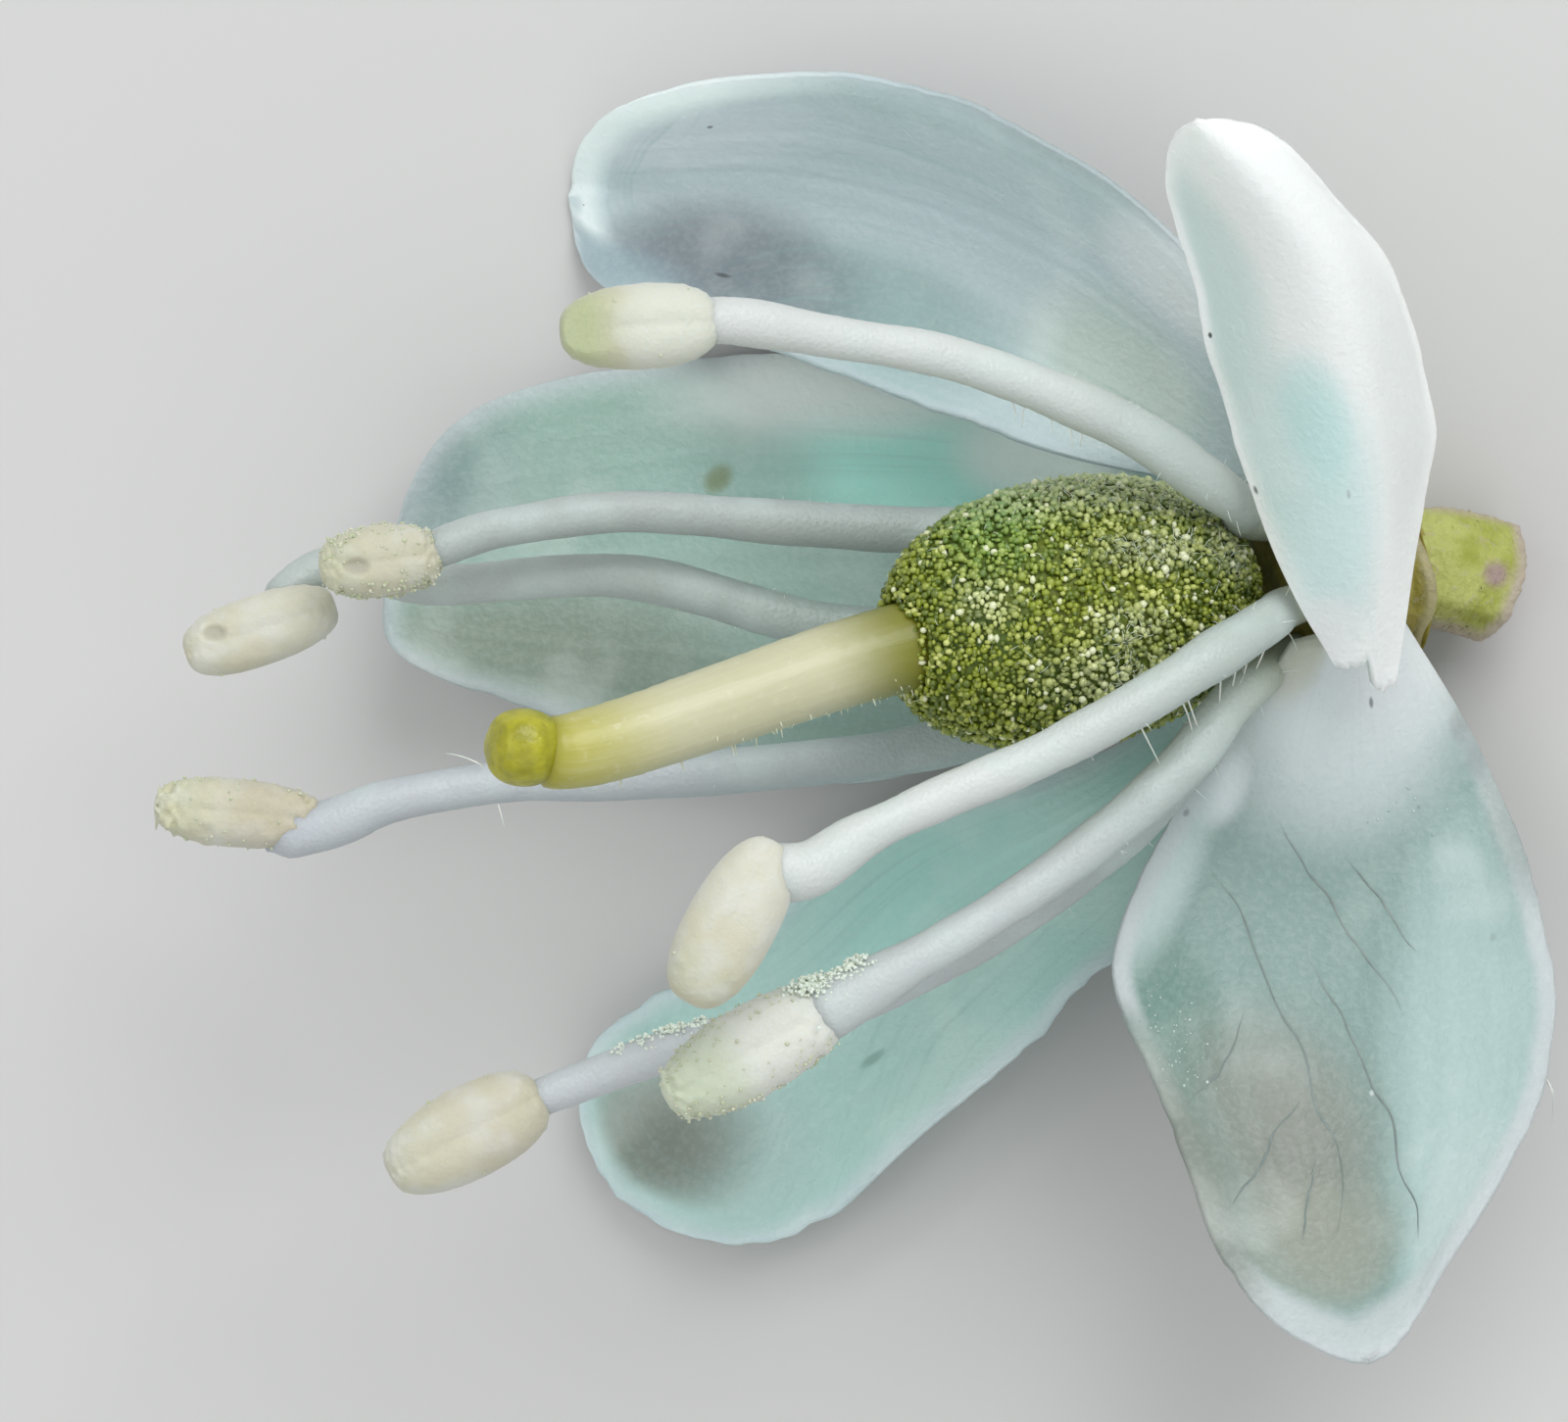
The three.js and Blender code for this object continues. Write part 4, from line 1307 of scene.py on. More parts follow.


# The end and foot colours, set one by one per filament, paint shade: dimmer where a filament lies in shade.
STAMENS = (
    Stamen(
        1,
        28,
        ((-0.32, 0.7, 0.98), (-0.66, 0.94, 1.4), (-1.37, 1.4, 1.84), (-2.71, 1.92, 2.36), (-3.81, 2.12, 2.8),
         (-4.64, 2.25, 3.18)),
        Anther((-5.47, 2.2, 3.39), (-6.14, 2.15, 3.47), 0.7, ragged=0.004, greenness=0.95, whiteness=0.95,
               grains=12, seed=1),
        swell=0.04,
    ),
    Stamen(
        2,
        -26,
        ((-1.02, 0.66, -0.68), (-1.8, 0.51, -0.87), (-2.99, 0.5, -0.68), (-4.24, 0.57, -0.34),
         (-5.59, 0.66, 0.0), (-6.61, 0.53, 0.17), (-7.02, 0.42, 0.25)),
        Anther((-7.72, 0.23, 0.38), (-8.25, 0.17, 0.42), 0.62, ragged=0.02, greenness=0.3, bluntness=0.78,
               pore=(-7.92, 0.18, 0.66), grains=700, seed=2),
        end_colour=(0.41, 0.455, 0.44),
        shaded_foot_colour=(0.33, 0.39, 0.37),
    ),
    Stamen(
        3,
        -77,
        ((-1.27, -0.1, -0.9), (-2.54, -0.34, -0.95), (-3.9, -0.32, -0.8), (-5.59, 0.1, -0.51),
         (-7.29, 0.03, -0.46), (-8.16, 0.2, -0.52)),
        Anther((-8.77, -0.36, -0.25), (-9.42, -0.58, -0.25), 0.62, ragged=0.004, whiteness=0.3,
               pore=(-9.17, -0.39, 0.03), grains=8, seed=3),
        end_colour=(0.43, 0.48, 0.46),
        shaded_foot_colour=(0.26, 0.34, 0.31),
        tongue=(-8.74, -0.19, -0.3),
    ),
    Stamen(
        4,
        -128,
        ((-1.02, -0.78, -0.72), (-2.03, -1.13, -0.81), (-3.14, -1.4, -0.72), (-4.24, -1.54, -0.55),
         (-5.59, -1.65, -0.42), (-6.61, -1.67, -0.34), (-7.63, -1.84, -0.25), (-8.1, -2.02, -0.22)),
        Anther((-8.94, -1.95, -0.21), (-9.69, -1.88, -0.21), 0.58, ragged=0.04,
               greenness=0.3, whiteness=-0.45,
               bluntness=0.72, grains=120, seed=4),
        end_colour=(0.48, 0.51, 0.54),
        shaded_foot_colour=(0.34, 0.43, 0.41),
        swell=0.05,
        tongue=(-8.74, -2.19, -0.24),
    ),
    Stamen(
        5,
        100,
        ((-0.05, -0.27, 1.3), (-0.59, -0.61, 1.88), (-1.14, -0.96, 2.14), (-2.03, -1.44, 2.34),
         (-2.88, -1.8, 2.55), (-3.56, -2.12, 2.75), (-4.02, -2.41, 2.97)),
        Anther((-4.68, -2.86, 3.15), (-5.06, -3.54, 3.22), 0.72, ragged=0.003, greenness=0.25, whiteness=0.45,
               grains=8, seed=5),
        shaded_foot_colour=(0.43, 0.49, 0.46),
        swell=0.09,
    ),
    Stamen(
        6,
        145,
        ((-0.38, -0.98, 1.2), (-0.85, -1.57, 1.5), (-1.69, -2.28, 1.65),
         (-2.54, -2.86, 1.86), (-3.52, -3.42, 2.08)),
        Anther((-4.51, -3.97, 2.22), (-5.25, -4.39, 2.27), 0.72, ragged=0.025, greenness=0.4, whiteness=1.2,
               bluntness=0.72, grains=620, seed=6),
        end_colour=(0.5, 0.54, 0.54),
        shaded_foot_colour=(0.38, 0.44, 0.41),
        swell=0.1,
        foot_reach=0.34,
        fuzz=(0.9, 1.0),
        finish=AntherFinish(cream=(0.56, 0.62, 0.5), pale=(0.6, 0.66, 0.57), green=(0.5, 0.58, 0.4)),
    ),
    Stamen(
        7,
        -170,
        ((-0.61, -1.37, 0.17), (-1.44, -2.22, 0.59), (-2.54, -3.01, 0.85), (-3.81, -3.64, 1.02),
         (-5.08, -3.94, 1.1), (-6.08, -4.29, 1.14)),
        Anther((-6.97, -4.7, 1.19), (-7.63, -5.05, 1.2), 0.75, ragged=0.006,
               whiteness=-0.2, grains=10, seed=7),
        end_colour=(0.52, 0.55, 0.57),
        shaded_foot_colour=(0.42, 0.48, 0.46),
        fuzz=(0.77, 0.88),
    ),
)


# Pistil


@dataclass(frozen=True)
class OvaryFinish:
    """The dark green wall of the ovary, between its glands."""

    name: str

    def material(self) -> bpy.types.Material:
        """Builds the wall's material."""
        tree = NodeTree(self.name)
        _, along, _ = tree.attribute("place")
        patch = tree.noise(900.0, 3.0)
        fine = tree.noise(9000.0, 3.0)
        colour = tree.mix(patch.rise(0.35, 0.65), (0.07, 0.12, 0.008), (0.13, 0.16, 0.008))
        colour = tree.mix(fine.rise(0.5, 0.7) * 0.5, colour, (0.22, 0.26, 0.02))
        colour = tree.mix(along.rise(0.2, 0.0) * 0.6, colour, (0.12, 0.1, 0.03))
        return tree.finish(Base_Color=colour, Roughness=0.45 + fine * 0.3, Normal=tree.bump(fine, 0.00004))


@dataclass(frozen=True)
class GlandFinish:
    """The wet glands that cover the ovary.

    The places hold each gland's tone, its share of blue-green and its share of white; the white is the pale
    of matted hairs, and painted glints on a few glands.
    """

    name: str
    dark: Colour = (0.08, 0.12, 0.008)
    olive: Colour = (0.26, 0.31, 0.02)
    pale: Colour = (0.57, 0.61, 0.2)
    blue_green: Colour = (0.17, 0.36, 0.09)
    white: Colour = (0.72, 0.75, 0.52)

    def material(self) -> bpy.types.Material:
        """Builds the glands' material."""
        tree = NodeTree(self.name)
        tone, cool, white = tree.attribute("place")
        colour = tree.mix(tone.rise(0.0, 0.5), self.dark, self.olive)
        colour = tree.mix(tone.rise(0.5, 1.0), colour, self.pale)
        colour = tree.mix(cool, colour, self.blue_green)
        # White: the pale of matted hairs, and painted glints on a few glands.
        colour = tree.mix(white, colour, self.white)
        return tree.finish(
            Base_Color=colour,
            Roughness=0.32,
            Coat_Weight=0.35,
            Coat_Roughness=0.12,
            Subsurface_Weight=0.25,
            Subsurface_Radius=(0.8, 1.0, 0.2),
            Subsurface_Scale=0.00004,
        )


@dataclass
class Ovary:
    """The ovary: a blunt egg under a dense cover of beaded glands, with a dimpled crown."""

    foot: Point = (-0.13, 0.07, 0.08)
    crown: Point = (-3.18, -0.47, 1.4)
    radius: float = 1.1
    bluntness: float = 0.9
    foot_taper: float = 1.1
    crown_taper: float = 0.82
    mouth: float = 0.46
    glands: int = 9200
    drops: int = 420
    rows: int = 120
    sides: int = 120
    cool_patch: tuple[float, float, float] = (-2.45, 0.55, 0.5)
    mats: tuple[tuple[float, float, float, float], ...] = (
        (-1.1, 0.3, 0.46, 0.16), (-1.4, -0.78, 0.6, 0.26),
        (-0.35, 0.42, 0.25, 0.3), (-1.27, -0.34, 0.3, 0.17),
        (-2.5, -0.15, 0.22, 0.18),
    )

    def surface(self, polar: np.ndarray, angle: np.ndarray) -> tuple[np.ndarray, np.ndarray]:
        """Returns points on the egg and the way out of it.

        Args:
            polar: 0 at the foot to pi at the crown.
            angle: radians round its axis.
        """
        foot, crown = np.array(self.foot), np.array(self.crown)
        axis, half = unit(crown - foot), np.linalg.norm(crown - foot) / 2
        side = unit(np.cross(axis, [0.0, 0.0, 1.0]))
        front = np.cross(axis, side)
        cosine, sine = np.cos(polar), np.clip(np.sin(polar), 0.0, None)
        height = half * (1 - np.sign(cosine) * np.abs(cosine) ** self.bluntness) + 0.1
        taper = np.where(cosine > 0, self.foot_taper, self.crown_taper)
        radius = self.radius * sine**taper
        radius = radius * (1 + 0.012 * np.cos(5 * angle + 0.4) * np.minimum(1.0, radius))
        round_way = side * np.cos(angle)[..., None] + front * np.sin(angle)[..., None]
        points = foot + axis * height[..., None] + round_way * radius[..., None]
        lean = cosine * self.radius / half
        outward = unit(round_way * sine[..., None] - axis * lean[..., None])
        return points, outward

    def wall(self) -> Skin:
        """Returns the egg's wall, with a dimple where the style rises."""
        last = math.pi - math.asin((self.mouth / self.radius) ** (1 / self.crown_taper))
        polar = np.concatenate([np.linspace(0.03, last, self.rows - 3), [last] * 3])
        angle = np.linspace(0.0, 2 * math.pi, self.sides, endpoint=False)
        grid_polar, grid_angle = np.meshgrid(polar, angle, indexing="ij")
        points, outward = self.surface(grid_polar, grid_angle)
        axis = unit(np.array(self.crown) - np.array(self.foot))
        lumps = np.random.default_rng(5).normal(0.0, 0.006, grid_polar.shape)
        points = points + outward * lumps[..., None]
        middle = points[-1].mean(axis=0)
        for step, (inner, deep) in enumerate(((0.93, 0.1), (0.88, 0.3), (0.8, 0.55))):
            points[self.rows - 3 + step] = middle + (points[self.rows - 4] - middle) * inner - axis * deep
        faces = closed_faces(self.rows, self.sides)
        places = np.zeros((self.rows, self.sides, 3))
        places[..., 1] = grid_polar / math.pi
        ends = np.vstack([points[0].mean(axis=0), points[-1].mean(axis=0)])
        flat = np.vstack([points.reshape(-1, 3), ends])
        return Skin(flat, faces, np.vstack([places.reshape(-1, 3), [[0.0, 0.0, 0.0], [0.0, 1.0, 0.0]]]))

    def spread(self, count: int, seed: int) -> tuple[np.ndarray, np.ndarray]:
        """Returns places spread evenly over the egg, with a seeded jitter, and the ways out of it.

        Args:
            count: how many places.
            seed: seed of the jitter.
        """
        draw = np.random.default_rng(seed)
        fine = np.linspace(0.02, 2.88, 300)
        ring, _ = self.surface(fine, np.zeros_like(fine))
        step = np.linalg.norm(np.diff(ring, axis=0), axis=1)
        width = self.radius * np.sin((fine[1:] + fine[:-1]) / 2)
        area = np.concatenate([[0.0], np.cumsum(step * width)])
        order = (np.arange(count) + 0.5) / count
        pitch = math.sqrt(4 * math.pi / count)
        polar = np.interp(order * area[-1], area, fine) + draw.normal(0.0, 0.35 * pitch, count)
        angle = order * count * math.pi * (3 - math.sqrt(5)) + draw.normal(0.0, 0.35 * pitch, count)
        return self.surface(np.clip(polar, 0.03, 2.88), angle)

    def marks(self, points: np.ndarray, tones: np.ndarray) -> np.ndarray:
        """Returns (tone, blue-green, white) for glands at places on the egg; the white holds painted glints
        too.

        Args:
            points: the glands' places.
            tones: a random tone for each.
        """
        x, y, z = points.T
        patch_x, patch_y, patch = self.cool_patch
        cool = np.exp(-(((x - patch_x) ** 2 + (y - patch_y) ** 2) / patch**2)) * 0.5
        cool = cool + 0.4 * smoothstep(0.4, 1.1, y)
        white = np.zeros_like(x)
        for at_x, at_y, wide, high in self.mats:
            near = np.exp(-(((x - at_x) / wide) ** 2 + ((y - at_y) / high) ** 2))
            white = np.maximum(white, near * smoothstep(0.6, 1.0, z) * 0.6)
        white = np.maximum(white, 0.52 * smoothstep(0.4, 0.85, y))
        # Painted glints: a few glands turned almost white.
        painted_glint = (tones > 0.95).astype(float)
        white = np.maximum(white * (0.3 + 0.7 * tones), painted_glint * 0.9)
        drift = np.sin(5.3 * x + 1.1) * np.sin(6.1 * y + 2.0) + np.sin(11.7 * x - 3.0) * np.sin(9.4 * y)
        tones = tones**1.5 * (0.86 + 0.14 * drift) + 0.08 * smoothstep(-0.3, -1.2, x)
        return np.stack([np.clip(tones, 0.0, 1.0), np.clip(cool, 0.0, 1.0), white], axis=1)

    def gland_beads(self) -> Skin:
        """Returns the fine granular glands that cover the wall."""
        draw = np.random.default_rng(17)
        points, outward = self.spread(self.glands, 18)
        sizes = draw.uniform(0.022, 0.039, (self.glands, 1)) * draw.uniform(0.65, 1.35, (self.glands, 3))
        centres = points + outward * draw.uniform(0.0, 0.045, (self.glands, 1))
        return beads(centres, sizes, self.marks(points, draw.uniform(0.0, 1.0, self.glands)), 1)

    def gland_drops(self) -> Skin:
        """Returns the larger glistening glands that stand among the fine ones."""
        draw = np.random.default_rng(19)
        points, outward = self.spread(self.drops, 20)
        sizes = draw.uniform(0.026, 0.04, (self.drops, 1)) * draw.uniform(0.8, 1.2, (self.drops, 3))
        centres = points + outward * draw.uniform(0.02, 0.05, (self.drops, 1))
        return beads(centres, sizes, self.marks(points, draw.uniform(0.45, 1.0, self.drops)), 2)

    def web(self) -> Skin:
        """Returns the fine pale hairs that lie matted over the glands."""
        draw = np.random.default_rng(29)
        points, outward = self.spread(9000, 30)
        white = self.marks(points, np.full(len(points), 0.9))[:, 2]
        pick = np.flatnonzero(white * draw.uniform(0.0, 1.0, len(points)) > 0.12)[:1100]
        few = draw.choice(len(points), 300, replace=False)
        pick = np.concatenate([pick, few])
        count = len(pick)
        way = unit(draw.normal(0.0, 1.0, (count, 3)))
        way = unit(way - outward[pick] * np.sum(way * outward[pick], axis=1, keepdims=True) * 0.8)
        roots = points[pick] + outward[pick] * 0.03
        tips = roots + way * draw.uniform(0.04, 0.12, (count, 1)) + outward[pick] * 0.01
        return hairs(roots, tips, outward[pick] * draw.uniform(0.0, 0.03, (count, 1)), 0.0042)

    def build(self) -> None:
        """Adds the ovary, its glands and its hairs to the flower."""
        add_piece("ovary_wall", self.wall(), OvaryFinish("ovary_wall").material(), ["ovary"])
        glands = GlandFinish("glands").material()
        add_piece("ovary_glands", self.gland_beads(), glands)
        add_piece("ovary_drops", self.gland_drops(), glands)
        finish = HairFinish("pale_hairs", (0.7, 0.74, 0.58))
        add_piece("ovary_hairs", self.web(), finish.material())


@dataclass(frozen=True)
class HairFinish:
    """Fine glassy white hairs."""

    name: str
    colour: Colour = (0.82, 0.86, 0.82)

    def material(self) -> bpy.types.Material:
        """Builds the hairs' material."""
        tree = NodeTree(self.name)
        _, along, _ = tree.attribute("place")
        colour = tree.mix(along.rise(0.0, 1.0) * 0.5, self.colour, (0.7, 0.78, 0.66))
        return tree.finish(Base_Color=colour, Roughness=0.3, Subsurface_Weight=0.2, Subsurface_Scale=0.00003)


@dataclass(frozen=True)
class StyleFinish:
    """The style's cream-yellow skin, olive where it leaves the ovary."""

    name: str

    def material(self) -> bpy.types.Material:
        """Builds the style's material."""
        tree = NodeTree(self.name)
        round_at, along, _ = tree.attribute("place")
        wave = tree.node("ShaderNodeCombineXYZ", {}, {0: round_at * 30.0, 1: along * 3.0, 2: 0.0})
        grain = tree.noise(1.6, 3.0, wave)
        fine = tree.noise(12000.0, 2.0)
        colour = tree.mix(along.rise(0.68, 0.97), (0.54, 0.53, 0.35), (0.43, 0.41, 0.09))
        colour = tree.mix(grain.rise(0.45, 0.75) * 0.2, colour, (0.64, 0.63, 0.46))
        colour = tree.mix(fine.rise(0.58, 0.75) * 0.2, colour, (0.72, 0.72, 0.58))
        colour = tree.mix(along.rise(0.93, 1.0), colour, (0.33, 0.31, 0.015))
        colour = tree.mix(along.rise(0.42, 0.19), colour, (0.19, 0.195, 0.014))
        return tree.finish(
            Base_Color=colour,
            Roughness=0.34 + fine * 0.2,
            Normal=tree.bump(grain * 0.6 + fine * 0.4, 0.000008),
            Subsurface_Weight=0.45,
            Subsurface_Radius=(1.0, 0.9, 0.45),
            Subsurface_Scale=0.0003,
            Coat_Weight=0.15,
        )


@dataclass(frozen=True)
class StigmaFinish:
    """The stigma's moist olive-yellow skin."""

    name: str

    def material(self) -> bpy.types.Material:
        """Builds the stigma's material."""
        tree = NodeTree(self.name)
        cloud = tree.noise(5000.0, 3.0)
        fine = tree.noise(20000.0, 2.0)
        colour = tree.mix(cloud.rise(0.35, 0.65), (0.28, 0.27, 0.004), (0.4, 0.385, 0.012))
        return tree.finish(
            Base_Color=colour,
            Roughness=0.3 + fine * 0.15,
            Normal=tree.bump(fine * 0.5 + cloud * 0.5, 0.00002),
            Subsurface_Weight=0.35,
            Subsurface_Radius=(1.0, 0.8, 0.2),
            Subsurface_Scale=0.0002,
            Coat_Weight=0.2,
            Coat_Roughness=0.15,
        )


@dataclass
class Style:
    """The style and its stigma: a curved column with a small lobed head."""

    path: Sequence[Point] = (
        (-2.5, -0.33, 1.1), (-2.91, -0.44, 1.3), (-3.81, -0.69, 1.69), (-4.89, -1.06, 2.19),
        (-5.59, -1.29, 2.48), (-6.07, -1.41, 2.69), (-6.34, -1.41, 2.8),
    )
    foot_radius: float = 0.4
    end_radius: float = 0.325
    head: Point = (-6.45, -1.375, 2.83)
    head_radius: float = 0.335
    lobes: int = 5
    rows: int = 90
    sides: int = 40

    def column(self) -> Skin:
        """Returns the style's column, with low ridges along it and a rounded end."""
        at = np.linspace(0.0, 1.0, self.rows)
        angle = np.linspace(0.0, 1.0, self.sides, endpoint=False)
        radius = self.foot_radius + (self.end_radius - self.foot_radius) * at
        radius = radius * (1 - 0.04 * smoothstep(0.88, 0.96, at)) * (1 - 0.25 * smoothstep(0.97, 1.0, at))
        ridges = 1 + 0.008 * np.cos(2 * math.pi * 5 * angle) * np.sin(math.pi * at)[:, None]
        lumps = np.random.default_rng(3).normal(0.0, 0.002, (self.rows, self.sides))
        return tube(even_spline(np.array(self.path), self.rows), radius[:, None] * ridges + lumps)

    def stigma(self) -> Skin:
        """Returns the stigma's lobed head, with a dent in its middle."""
        rows, sides = 40, 60
        onward = unit(np.array([-0.8, 0.06, 0.45]))
        polar = np.linspace(0.06, math.pi - 0.04, rows)
        reach = self.head_radius * 1.1
        dent = 0.08 * smoothstep(0.75, 1.0, -np.cos(polar))
        path = np.array(self.head) - onward * (reach * (np.cos(polar) + dent))[:, None] * 0.92
        angle = np.linspace(0.0, 2 * math.pi, sides, endpoint=False)
        lobe = 1 + 0.05 * np.cos(self.lobes * angle) * np.clip(-np.cos(polar), 0.0, 1.0)[:, None]
        radii = self.head_radius * (np.sin(polar) ** 0.8)[:, None] * lobe
        side = unit(np.cross(onward, [0.0, 1.0, 0.0]))
        front = np.cross(onward, side)
        ring = side * np.cos(angle)[:, None] + front * np.sin(angle)[:, None]
        points = (path[:, None] + ring * radii[..., None]).reshape(-1, 3)
        faces = closed_faces(rows, sides)
        ends = np.vstack([path[0], path[-1]])
        points = np.vstack([points, ends])
        return Skin(points, faces, np.zeros_like(points))

    def fringe(self) -> Skin:
        """Returns the tiny hairs that stand on the style's lower edge and near the ovary."""
        draw = np.random.default_rng(41)
        line = even_spline(np.array(self.path), 200)
        pick = np.clip(draw.beta(1.2, 2.6, 70) * 150 + 25, 0, 195).astype(int)
        down = unit(np.array([0.15, -1.0, 0.1]))
        way = unit(down + draw.normal(0.0, 0.5, (70, 3)) * [0.3, 0.5, 1.0])
        roots = line[pick] + way * 0.34
        tips = roots + way * draw.uniform(0.05, 0.12, 70)[:, None]
        return hairs(roots, tips, np.zeros_like(roots), 0.011)

    def build(self) -> None:
        """Adds the style, its hairs and the stigma to the flower."""
        add_piece("style_column", self.column(), StyleFinish("style").material(), ["style"])
        add_piece("stigma_head", self.stigma(), StigmaFinish("stigma").material(), ["stigma"])
        finish = HairFinish("style_hairs", (0.8, 0.8, 0.6))
        add_piece("style_hairs", self.fringe(), finish.material())


# Calyx and stalk


@dataclass(frozen=True)
class GreenFinish:
    """The olive skin of the receptacle and the stalk."""

    name: str
    low: Colour
    high: Colour
    rim: Colour
    spot: Colour = (0.3, 0.17, 0.26)

    def material(self) -> bpy.types.Material:
        """Builds the material. The places hold (1 on a cut rim, on the teeth's outer edge and along the
        stalk's upper and lower outline as seen, 1 on a mauve spot, 0).
        """
        tree = NodeTree(self.name)
        rim_and_outline, spot, _ = tree.attribute("place")
        cloud = tree.noise(2200.0, 3.0)
        fine = tree.noise(14000.0, 3.0)
        colour = tree.mix(cloud.rise(0.38, 0.62), self.low, self.high)
        colour = tree.mix(fine.rise(0.55, 0.7) * 0.3, colour, self.rim)
        colour = tree.mix(rim_and_outline, colour, self.rim)
        colour = tree.mix(spot, colour, self.spot)
        return tree.finish(
            Base_Color=colour,
            Roughness=0.45 + fine * 0.3,
            Normal=tree.bump(fine * 0.6 + cloud * 0.4, 0.00005),
            Subsurface_Weight=0.25,
            Subsurface_Radius=(1.0, 0.9, 0.3),
            Subsurface_Scale=0.0002,
        )


@dataclass
class Calyx:
    """The receptacle's disc with five short teeth, and the neck down to the stalk."""

    radius: float = 0.85
    bottom: float = -0.85
    reach: float = 1.03
    notch: float = 0.18
    teeth: int = 5
    neck_radius: float = 0.4
    neck_at: float = -1.25
    sides: int = 90

    def profile(self) -> np.ndarray:
        """Returns the (height, radius) pairs of the disc's outline, from the face down."""
        stops = np.array([
            [0.02, 0.0, 0], [0.06, 0.3, 0], [0.02, 0.62, 0],
            [-0.06, 0.8, 0], [-0.2, 0.85, 0], [-0.5, 0.85, 0],
            [self.bottom, 0.87, 0], [-0.93, 0.96, 0], [-0.98, self.reach, 0], [-1.06, self.reach - 0.01, 0],
            [-1.08, 0.9, 0], [-1.14, 0.66, 0], [-1.2, 0.5, 0], [self.neck_at - 0.12, self.neck_radius, 0],
        ])
        return spline(stops, np.linspace(0.0, 1.0, 80))[:, :2]

    def disc(self) -> Skin:
        """Returns the disc's skin."""
        profile = self.profile()
        rows = len(profile)
        angle = np.linspace(0.0, 2 * math.pi, self.sides, endpoint=False)
        toothed = smoothstep(0.87, 1.02, profile[:, 1])
        notch = self.notch / 2 * (1 - np.cos(self.teeth * angle))
        radius = np.maximum(profile[:, 1][:, None] - toothed[:, None] * notch, 0.004)
        side = unit(np.cross(-AXIS, [0.0, 0.0, 1.0]))
        front = np.cross(-AXIS, side)
        ring = side * np.cos(angle)[:, None] + front * np.sin(angle)[:, None]
        points = (AXIS * profile[:, :1])[:, None] + ring * radius[..., None]
        faces = closed_faces(rows, self.sides)
        ends = np.vstack([AXIS * profile[0, 0], AXIS * profile[-1, 0]])
        points = np.vstack([points.reshape(-1, 3), ends])
        places = np.zeros_like(points)
        places[:rows * self.sides, 0] = np.repeat(smoothstep(0.95, 1.08, profile[:, 1]) * 0.6, self.sides)
        return Skin(points, faces, places)

    def build(self) -> None:
        """Adds the calyx to the flower."""
        finish = GreenFinish("calyx", (0.2, 0.165, 0.025), (0.3, 0.26, 0.045), (0.46, 0.42, 0.3))
        add_piece("calyx_disc", self.disc(), finish.material(), ["calyx"])


@dataclass
class Pedicel:
    """The short stub of stalk, with the rim of its cut end."""

    path: Sequence[Point] = ((1.06, 0.24, -0.47), (1.36, 0.2, -0.6), (1.66, 0.14, -0.75), (1.93, 0.06, -0.88))
    radius: float = 0.52
    spot: tuple[float, float] = (1.93, 0.12)
    rows: int = 60
    sides: int = 72

    def stub(self) -> Skin:
        """Returns the stub's skin, with low ribs, and a rim round a sunk end."""
        at = np.linspace(0.0, 1.0, self.rows)
        angle = np.linspace(0.0, 2 * math.pi, self.sides, endpoint=False)
        ribs = 1 + 0.03 * np.cos(7 * angle + 0.6) + 0.012 * np.cos(13 * angle)
        swell = 0.84 + 0.16 * smoothstep(0.0, 0.4, at)
        radii = self.radius * swell[:, None] * ribs
        line = even_spline(np.array(self.path), self.rows)
        skin = tube(line, radii)
        end = unit(np.array(self.path[-1]) - np.array(self.path[-2]))
        last = (self.rows - 1) * self.sides
        rim = np.arange(last, last + self.sides)
        middle = skin.points[-1].copy()
        skin.points[rim] = middle + (skin.points[rim] - middle) * 0.86 + end * 0.05
        before = rim - self.sides
        skin.points[before] = skin.points[before] + end * 0.03
        skin.points[-1] = middle - end * 0.03
        lumps = np.random.default_rng(9).normal(0.0, 0.006, skin.points.shape)
        skin.points = skin.points + lumps
        radial = skin.points - np.vstack([np.repeat(line, self.sides, axis=0), line[0], line[-1]])
        # The rim colour along the stub's upper and lower outline as seen, and on the rim of its cut end.
        edge = smoothstep(0.78, 1.0, np.abs(radial[:, 1]) / self.radius)
        rim_and_outline = np.maximum(edge * 0.75, smoothstep(0.84, 1.0, skin.places[:, 1]) * 0.85)
        spot = np.linalg.norm(skin.points[:, :2] - np.array(self.spot), axis=1)
        skin.places = np.stack([rim_and_outline, smoothstep(0.16, 0.05, spot) * 0.7, rim_and_outline * 0], axis=1)
        return skin

    def build(self) -> None:
        """Adds the stub to the flower."""
        finish = GreenFinish("stalk", (0.3, 0.33, 0.05), (0.42, 0.45, 0.13), (0.44, 0.36, 0.34))
        add_piece("pedicel_stub", self.stub(), finish.material(), ["pedicel"])


# Hairs

STRAY_HAIRS = (
    ((-6.84, -1.54, -0.15), (-7.16, -1.43, -0.05), (0.0, 0.02, 0.0)),
    ((-6.72, -1.84, -0.3), (-6.66, -2.06, -0.25), (0.0, 0.0, 0.0)),
    ((-2.3, 1.6, 2.1), (-2.26, 1.42, 2.03), (0.02, 0.0, 0.0)),
    ((-2.17, 1.57, 2.1), (-2.2, 1.36, 2.0), (-0.01, 0.0, 0.0)),
    ((-1.98, 1.48, 2.05), (-1.95, 1.3, 1.97), (0.02, 0.0, 0.0)),
    ((-1.8, 1.4, 1.98), (-1.77, 1.18, 1.9), (0.01, 0.0, 0.0)),
    ((-1.68, 1.34, 1.92), (-1.7, 1.2, 1.85), (0.0, 0.0, 0.0)),
    ((2.3, -4.2, 0.9), (2.41, -4.62, 0.95), (0.05, 0.0, 0.03)),
    ((2.33, -4.25, 0.9), (2.37, -4.68, 0.98), (0.07, 0.0, 0.0)),
)


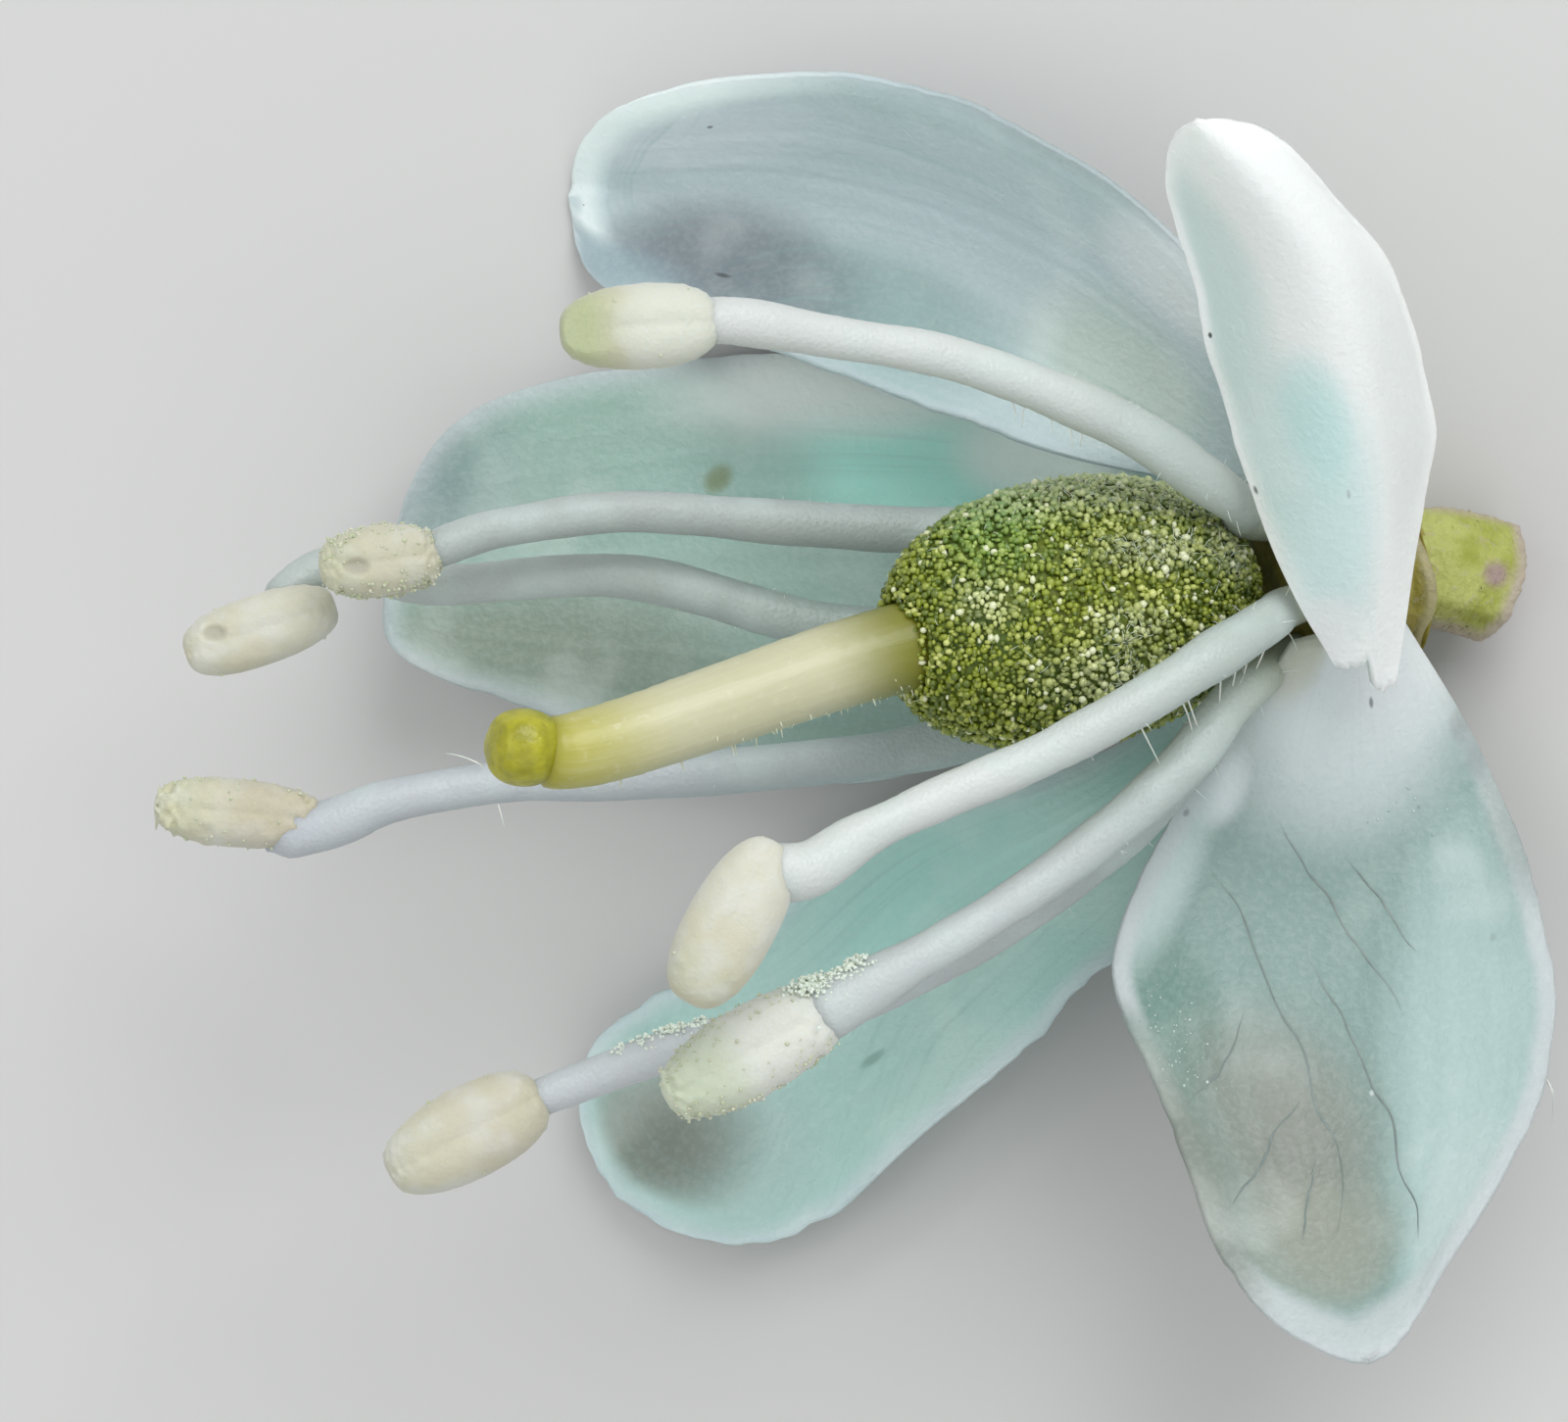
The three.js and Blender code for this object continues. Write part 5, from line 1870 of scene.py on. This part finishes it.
@dataclass
class BaseHairs:
    """The short white hairs about the bases of the filaments."""

    seed: int = 61

    def ladder(self) -> Skin:
        """Returns the hairs that span the gap between the two filaments nearest the viewer."""
        draw = np.random.default_rng(self.seed)
        upper, lower = STAMENS[4].centre_line(), STAMENS[5].centre_line()
        rows = np.array([24, 30, 38, 45, 55, 57, 66])
        roots = upper[rows] + draw.normal(0.0, 0.02, (len(rows), 3))
        nearest = np.linalg.norm(roots[:, None] - lower[None], axis=2).argmin(axis=1)
        gap = lower[np.clip(nearest + 2, 0, len(lower) - 1)] - roots
        tips = roots + gap * draw.uniform(0.85, 1.0, (len(rows), 1))
        return hairs(roots, tips, draw.normal(0.0, 0.02, (len(rows), 3)), 0.015)

    def beards(self) -> Skin:
        """Returns the hairs that stand off the foot of every filament."""
        whole = None
        for stamen in STAMENS:
            draw = np.random.default_rng(self.seed + stamen.number)
            line = stamen.centre_line()
            rows = draw.integers(12, 90, 60)
            way = unit(draw.normal(0.0, 1.0, (60, 3)))
            roots = line[rows] + way * 0.16
            reach = draw.uniform(0.06, 0.14, 60) * np.interp(rows, [12, 40, 90], [1.6, 1.2, 0.6])
            beard = hairs(roots, roots + way * reach[:, None], draw.normal(0.0, 0.01, (60, 3)), 0.006)
            whole = beard if whole is None else whole.joined(beard)
        return whole

    def strays(self) -> Skin:
        """Returns the few longer hairs that stand alone on the filaments and on a petal's margin."""
        roots, tips, sag = (np.array([hair[k] for hair in STRAY_HAIRS]) for k in range(3))
        return hairs(roots, tips, sag, 0.01)

    def build(self) -> None:
        """Adds the hairs to the flower."""
        skin = self.ladder().joined(self.beards()).joined(self.strays())
        add_piece("filament_hairs", skin, HairFinish("filament_hairs").material())


# Setting


@dataclass
class Setting:
    """The pale surface, the soft lights and the camera."""

    frame_centre: tuple[float, float] = (800.0, 725.5)
    lens: float = 500.0
    sensor: float = 36.0

    def floor(self) -> None:
        """Adds the pale surface that the flower lies on."""
        mesh = bpy.data.meshes.new("surface")
        reach = 1.0
        corners = [(-reach, -reach, 0.0), (reach, -reach, 0.0), (reach, reach, 0.0), (-reach, reach, 0.0)]
        mesh.from_pydata(corners, [], [(0, 1, 2, 3)])
        tree = NodeTree("pale_surface")
        mesh.materials.append(tree.finish(Base_Color=(0.6, 0.6, 0.59), Roughness=0.8))
        surface = bpy.data.objects.new("surface", mesh)
        bpy.context.scene.collection.objects.link(surface)

    def lamp(self, name: str, way: Point, distance: float, size: float, power: float) -> None:
        """Adds a soft lamp aimed at the flower.

        Args:
            name: the lamp's name.
            way: where it stands, as a direction in the view frame.
            distance: how far off it stands, in metres.
            size: its width, in metres.
            power: its power, in watts.
        """
        light = bpy.data.lights.new(name, "AREA")
        light.size = size
        light.energy = power
        lamp = bpy.data.objects.new(name, light)
        direction = Vector(LAY @ unit(np.array(way)))
        lamp.location = direction * distance
        lamp.rotation_euler = direction.to_track_quat("Z", "Y").to_euler()
        bpy.context.scene.collection.objects.link(lamp)

    def camera(self) -> None:
        """Adds the camera along the photograph's line of sight."""
        aim = lay(np.array([
            (self.frame_centre[0] - PHOTO_ZERO[0]) / PHOTO_SCALE,
            (PHOTO_ZERO[1] - self.frame_centre[1]) / PHOTO_SCALE,
            0.0,
        ]))
        width = PHOTO_SIZE[0] / PHOTO_SCALE * MM
        distance = width * self.lens / self.sensor
        data = bpy.data.cameras.new("camera")
        data.lens = self.lens
        data.sensor_width = self.sensor
        data.clip_start = 0.005
        data.clip_end = 20.0
        camera = bpy.data.objects.new("camera", data)
        turn = Matrix(LAY.tolist())
        camera.matrix_world = Matrix.Translation(Vector(aim + LAY[:, 2] * distance)) @ turn.to_4x4()
        bpy.context.scene.collection.objects.link(camera)
        bpy.context.scene.camera = camera

    def build(self) -> None:
        """Adds the whole setting."""
        self.floor()
        self.lamp("key", (0.35, 0.75, 0.9), 0.3, 0.22, 0.62)
        self.lamp("fill", (-0.8, 0.1, 0.8), 0.3, 0.3, 0.24)
        self.lamp("front", (0.3, -0.6, 1.0), 0.3, 0.3, 0.2)
        world = bpy.data.worlds.new("soft_room")
        world.use_nodes = True
        world.node_tree.nodes["Background"].inputs["Color"].default_value = (0.86, 0.88, 0.9, 1.0)
        world.node_tree.nodes["Background"].inputs["Strength"].default_value = 0.52
        bpy.context.scene.world = world
        bpy.context.scene.view_settings.view_transform = "Standard"
        self.camera()


def main() -> None:
    """Builds the flower's pieces in order, and its setting."""
    for petal in PETALS:
        petal.build()
    PetalMarks(PETALS[-1]).build()
    for stamen in STAMENS:
        stamen.build()
    parts = [stamen.anther.pollen() for stamen in STAMENS]
    parts += [stamen.strewn() for stamen in STAMENS if stamen.fuzz]
    grains = beads(*(np.concatenate(column) for column in zip(*parts)), 1)
    add_piece("pollen", grains, PollenFinish("pollen").material())
    Ovary().build()
    Style().build()
    Calyx().build()
    Pedicel().build()
    BaseHairs().build()
    Setting().build()


if __name__ == "__main__":
    main()
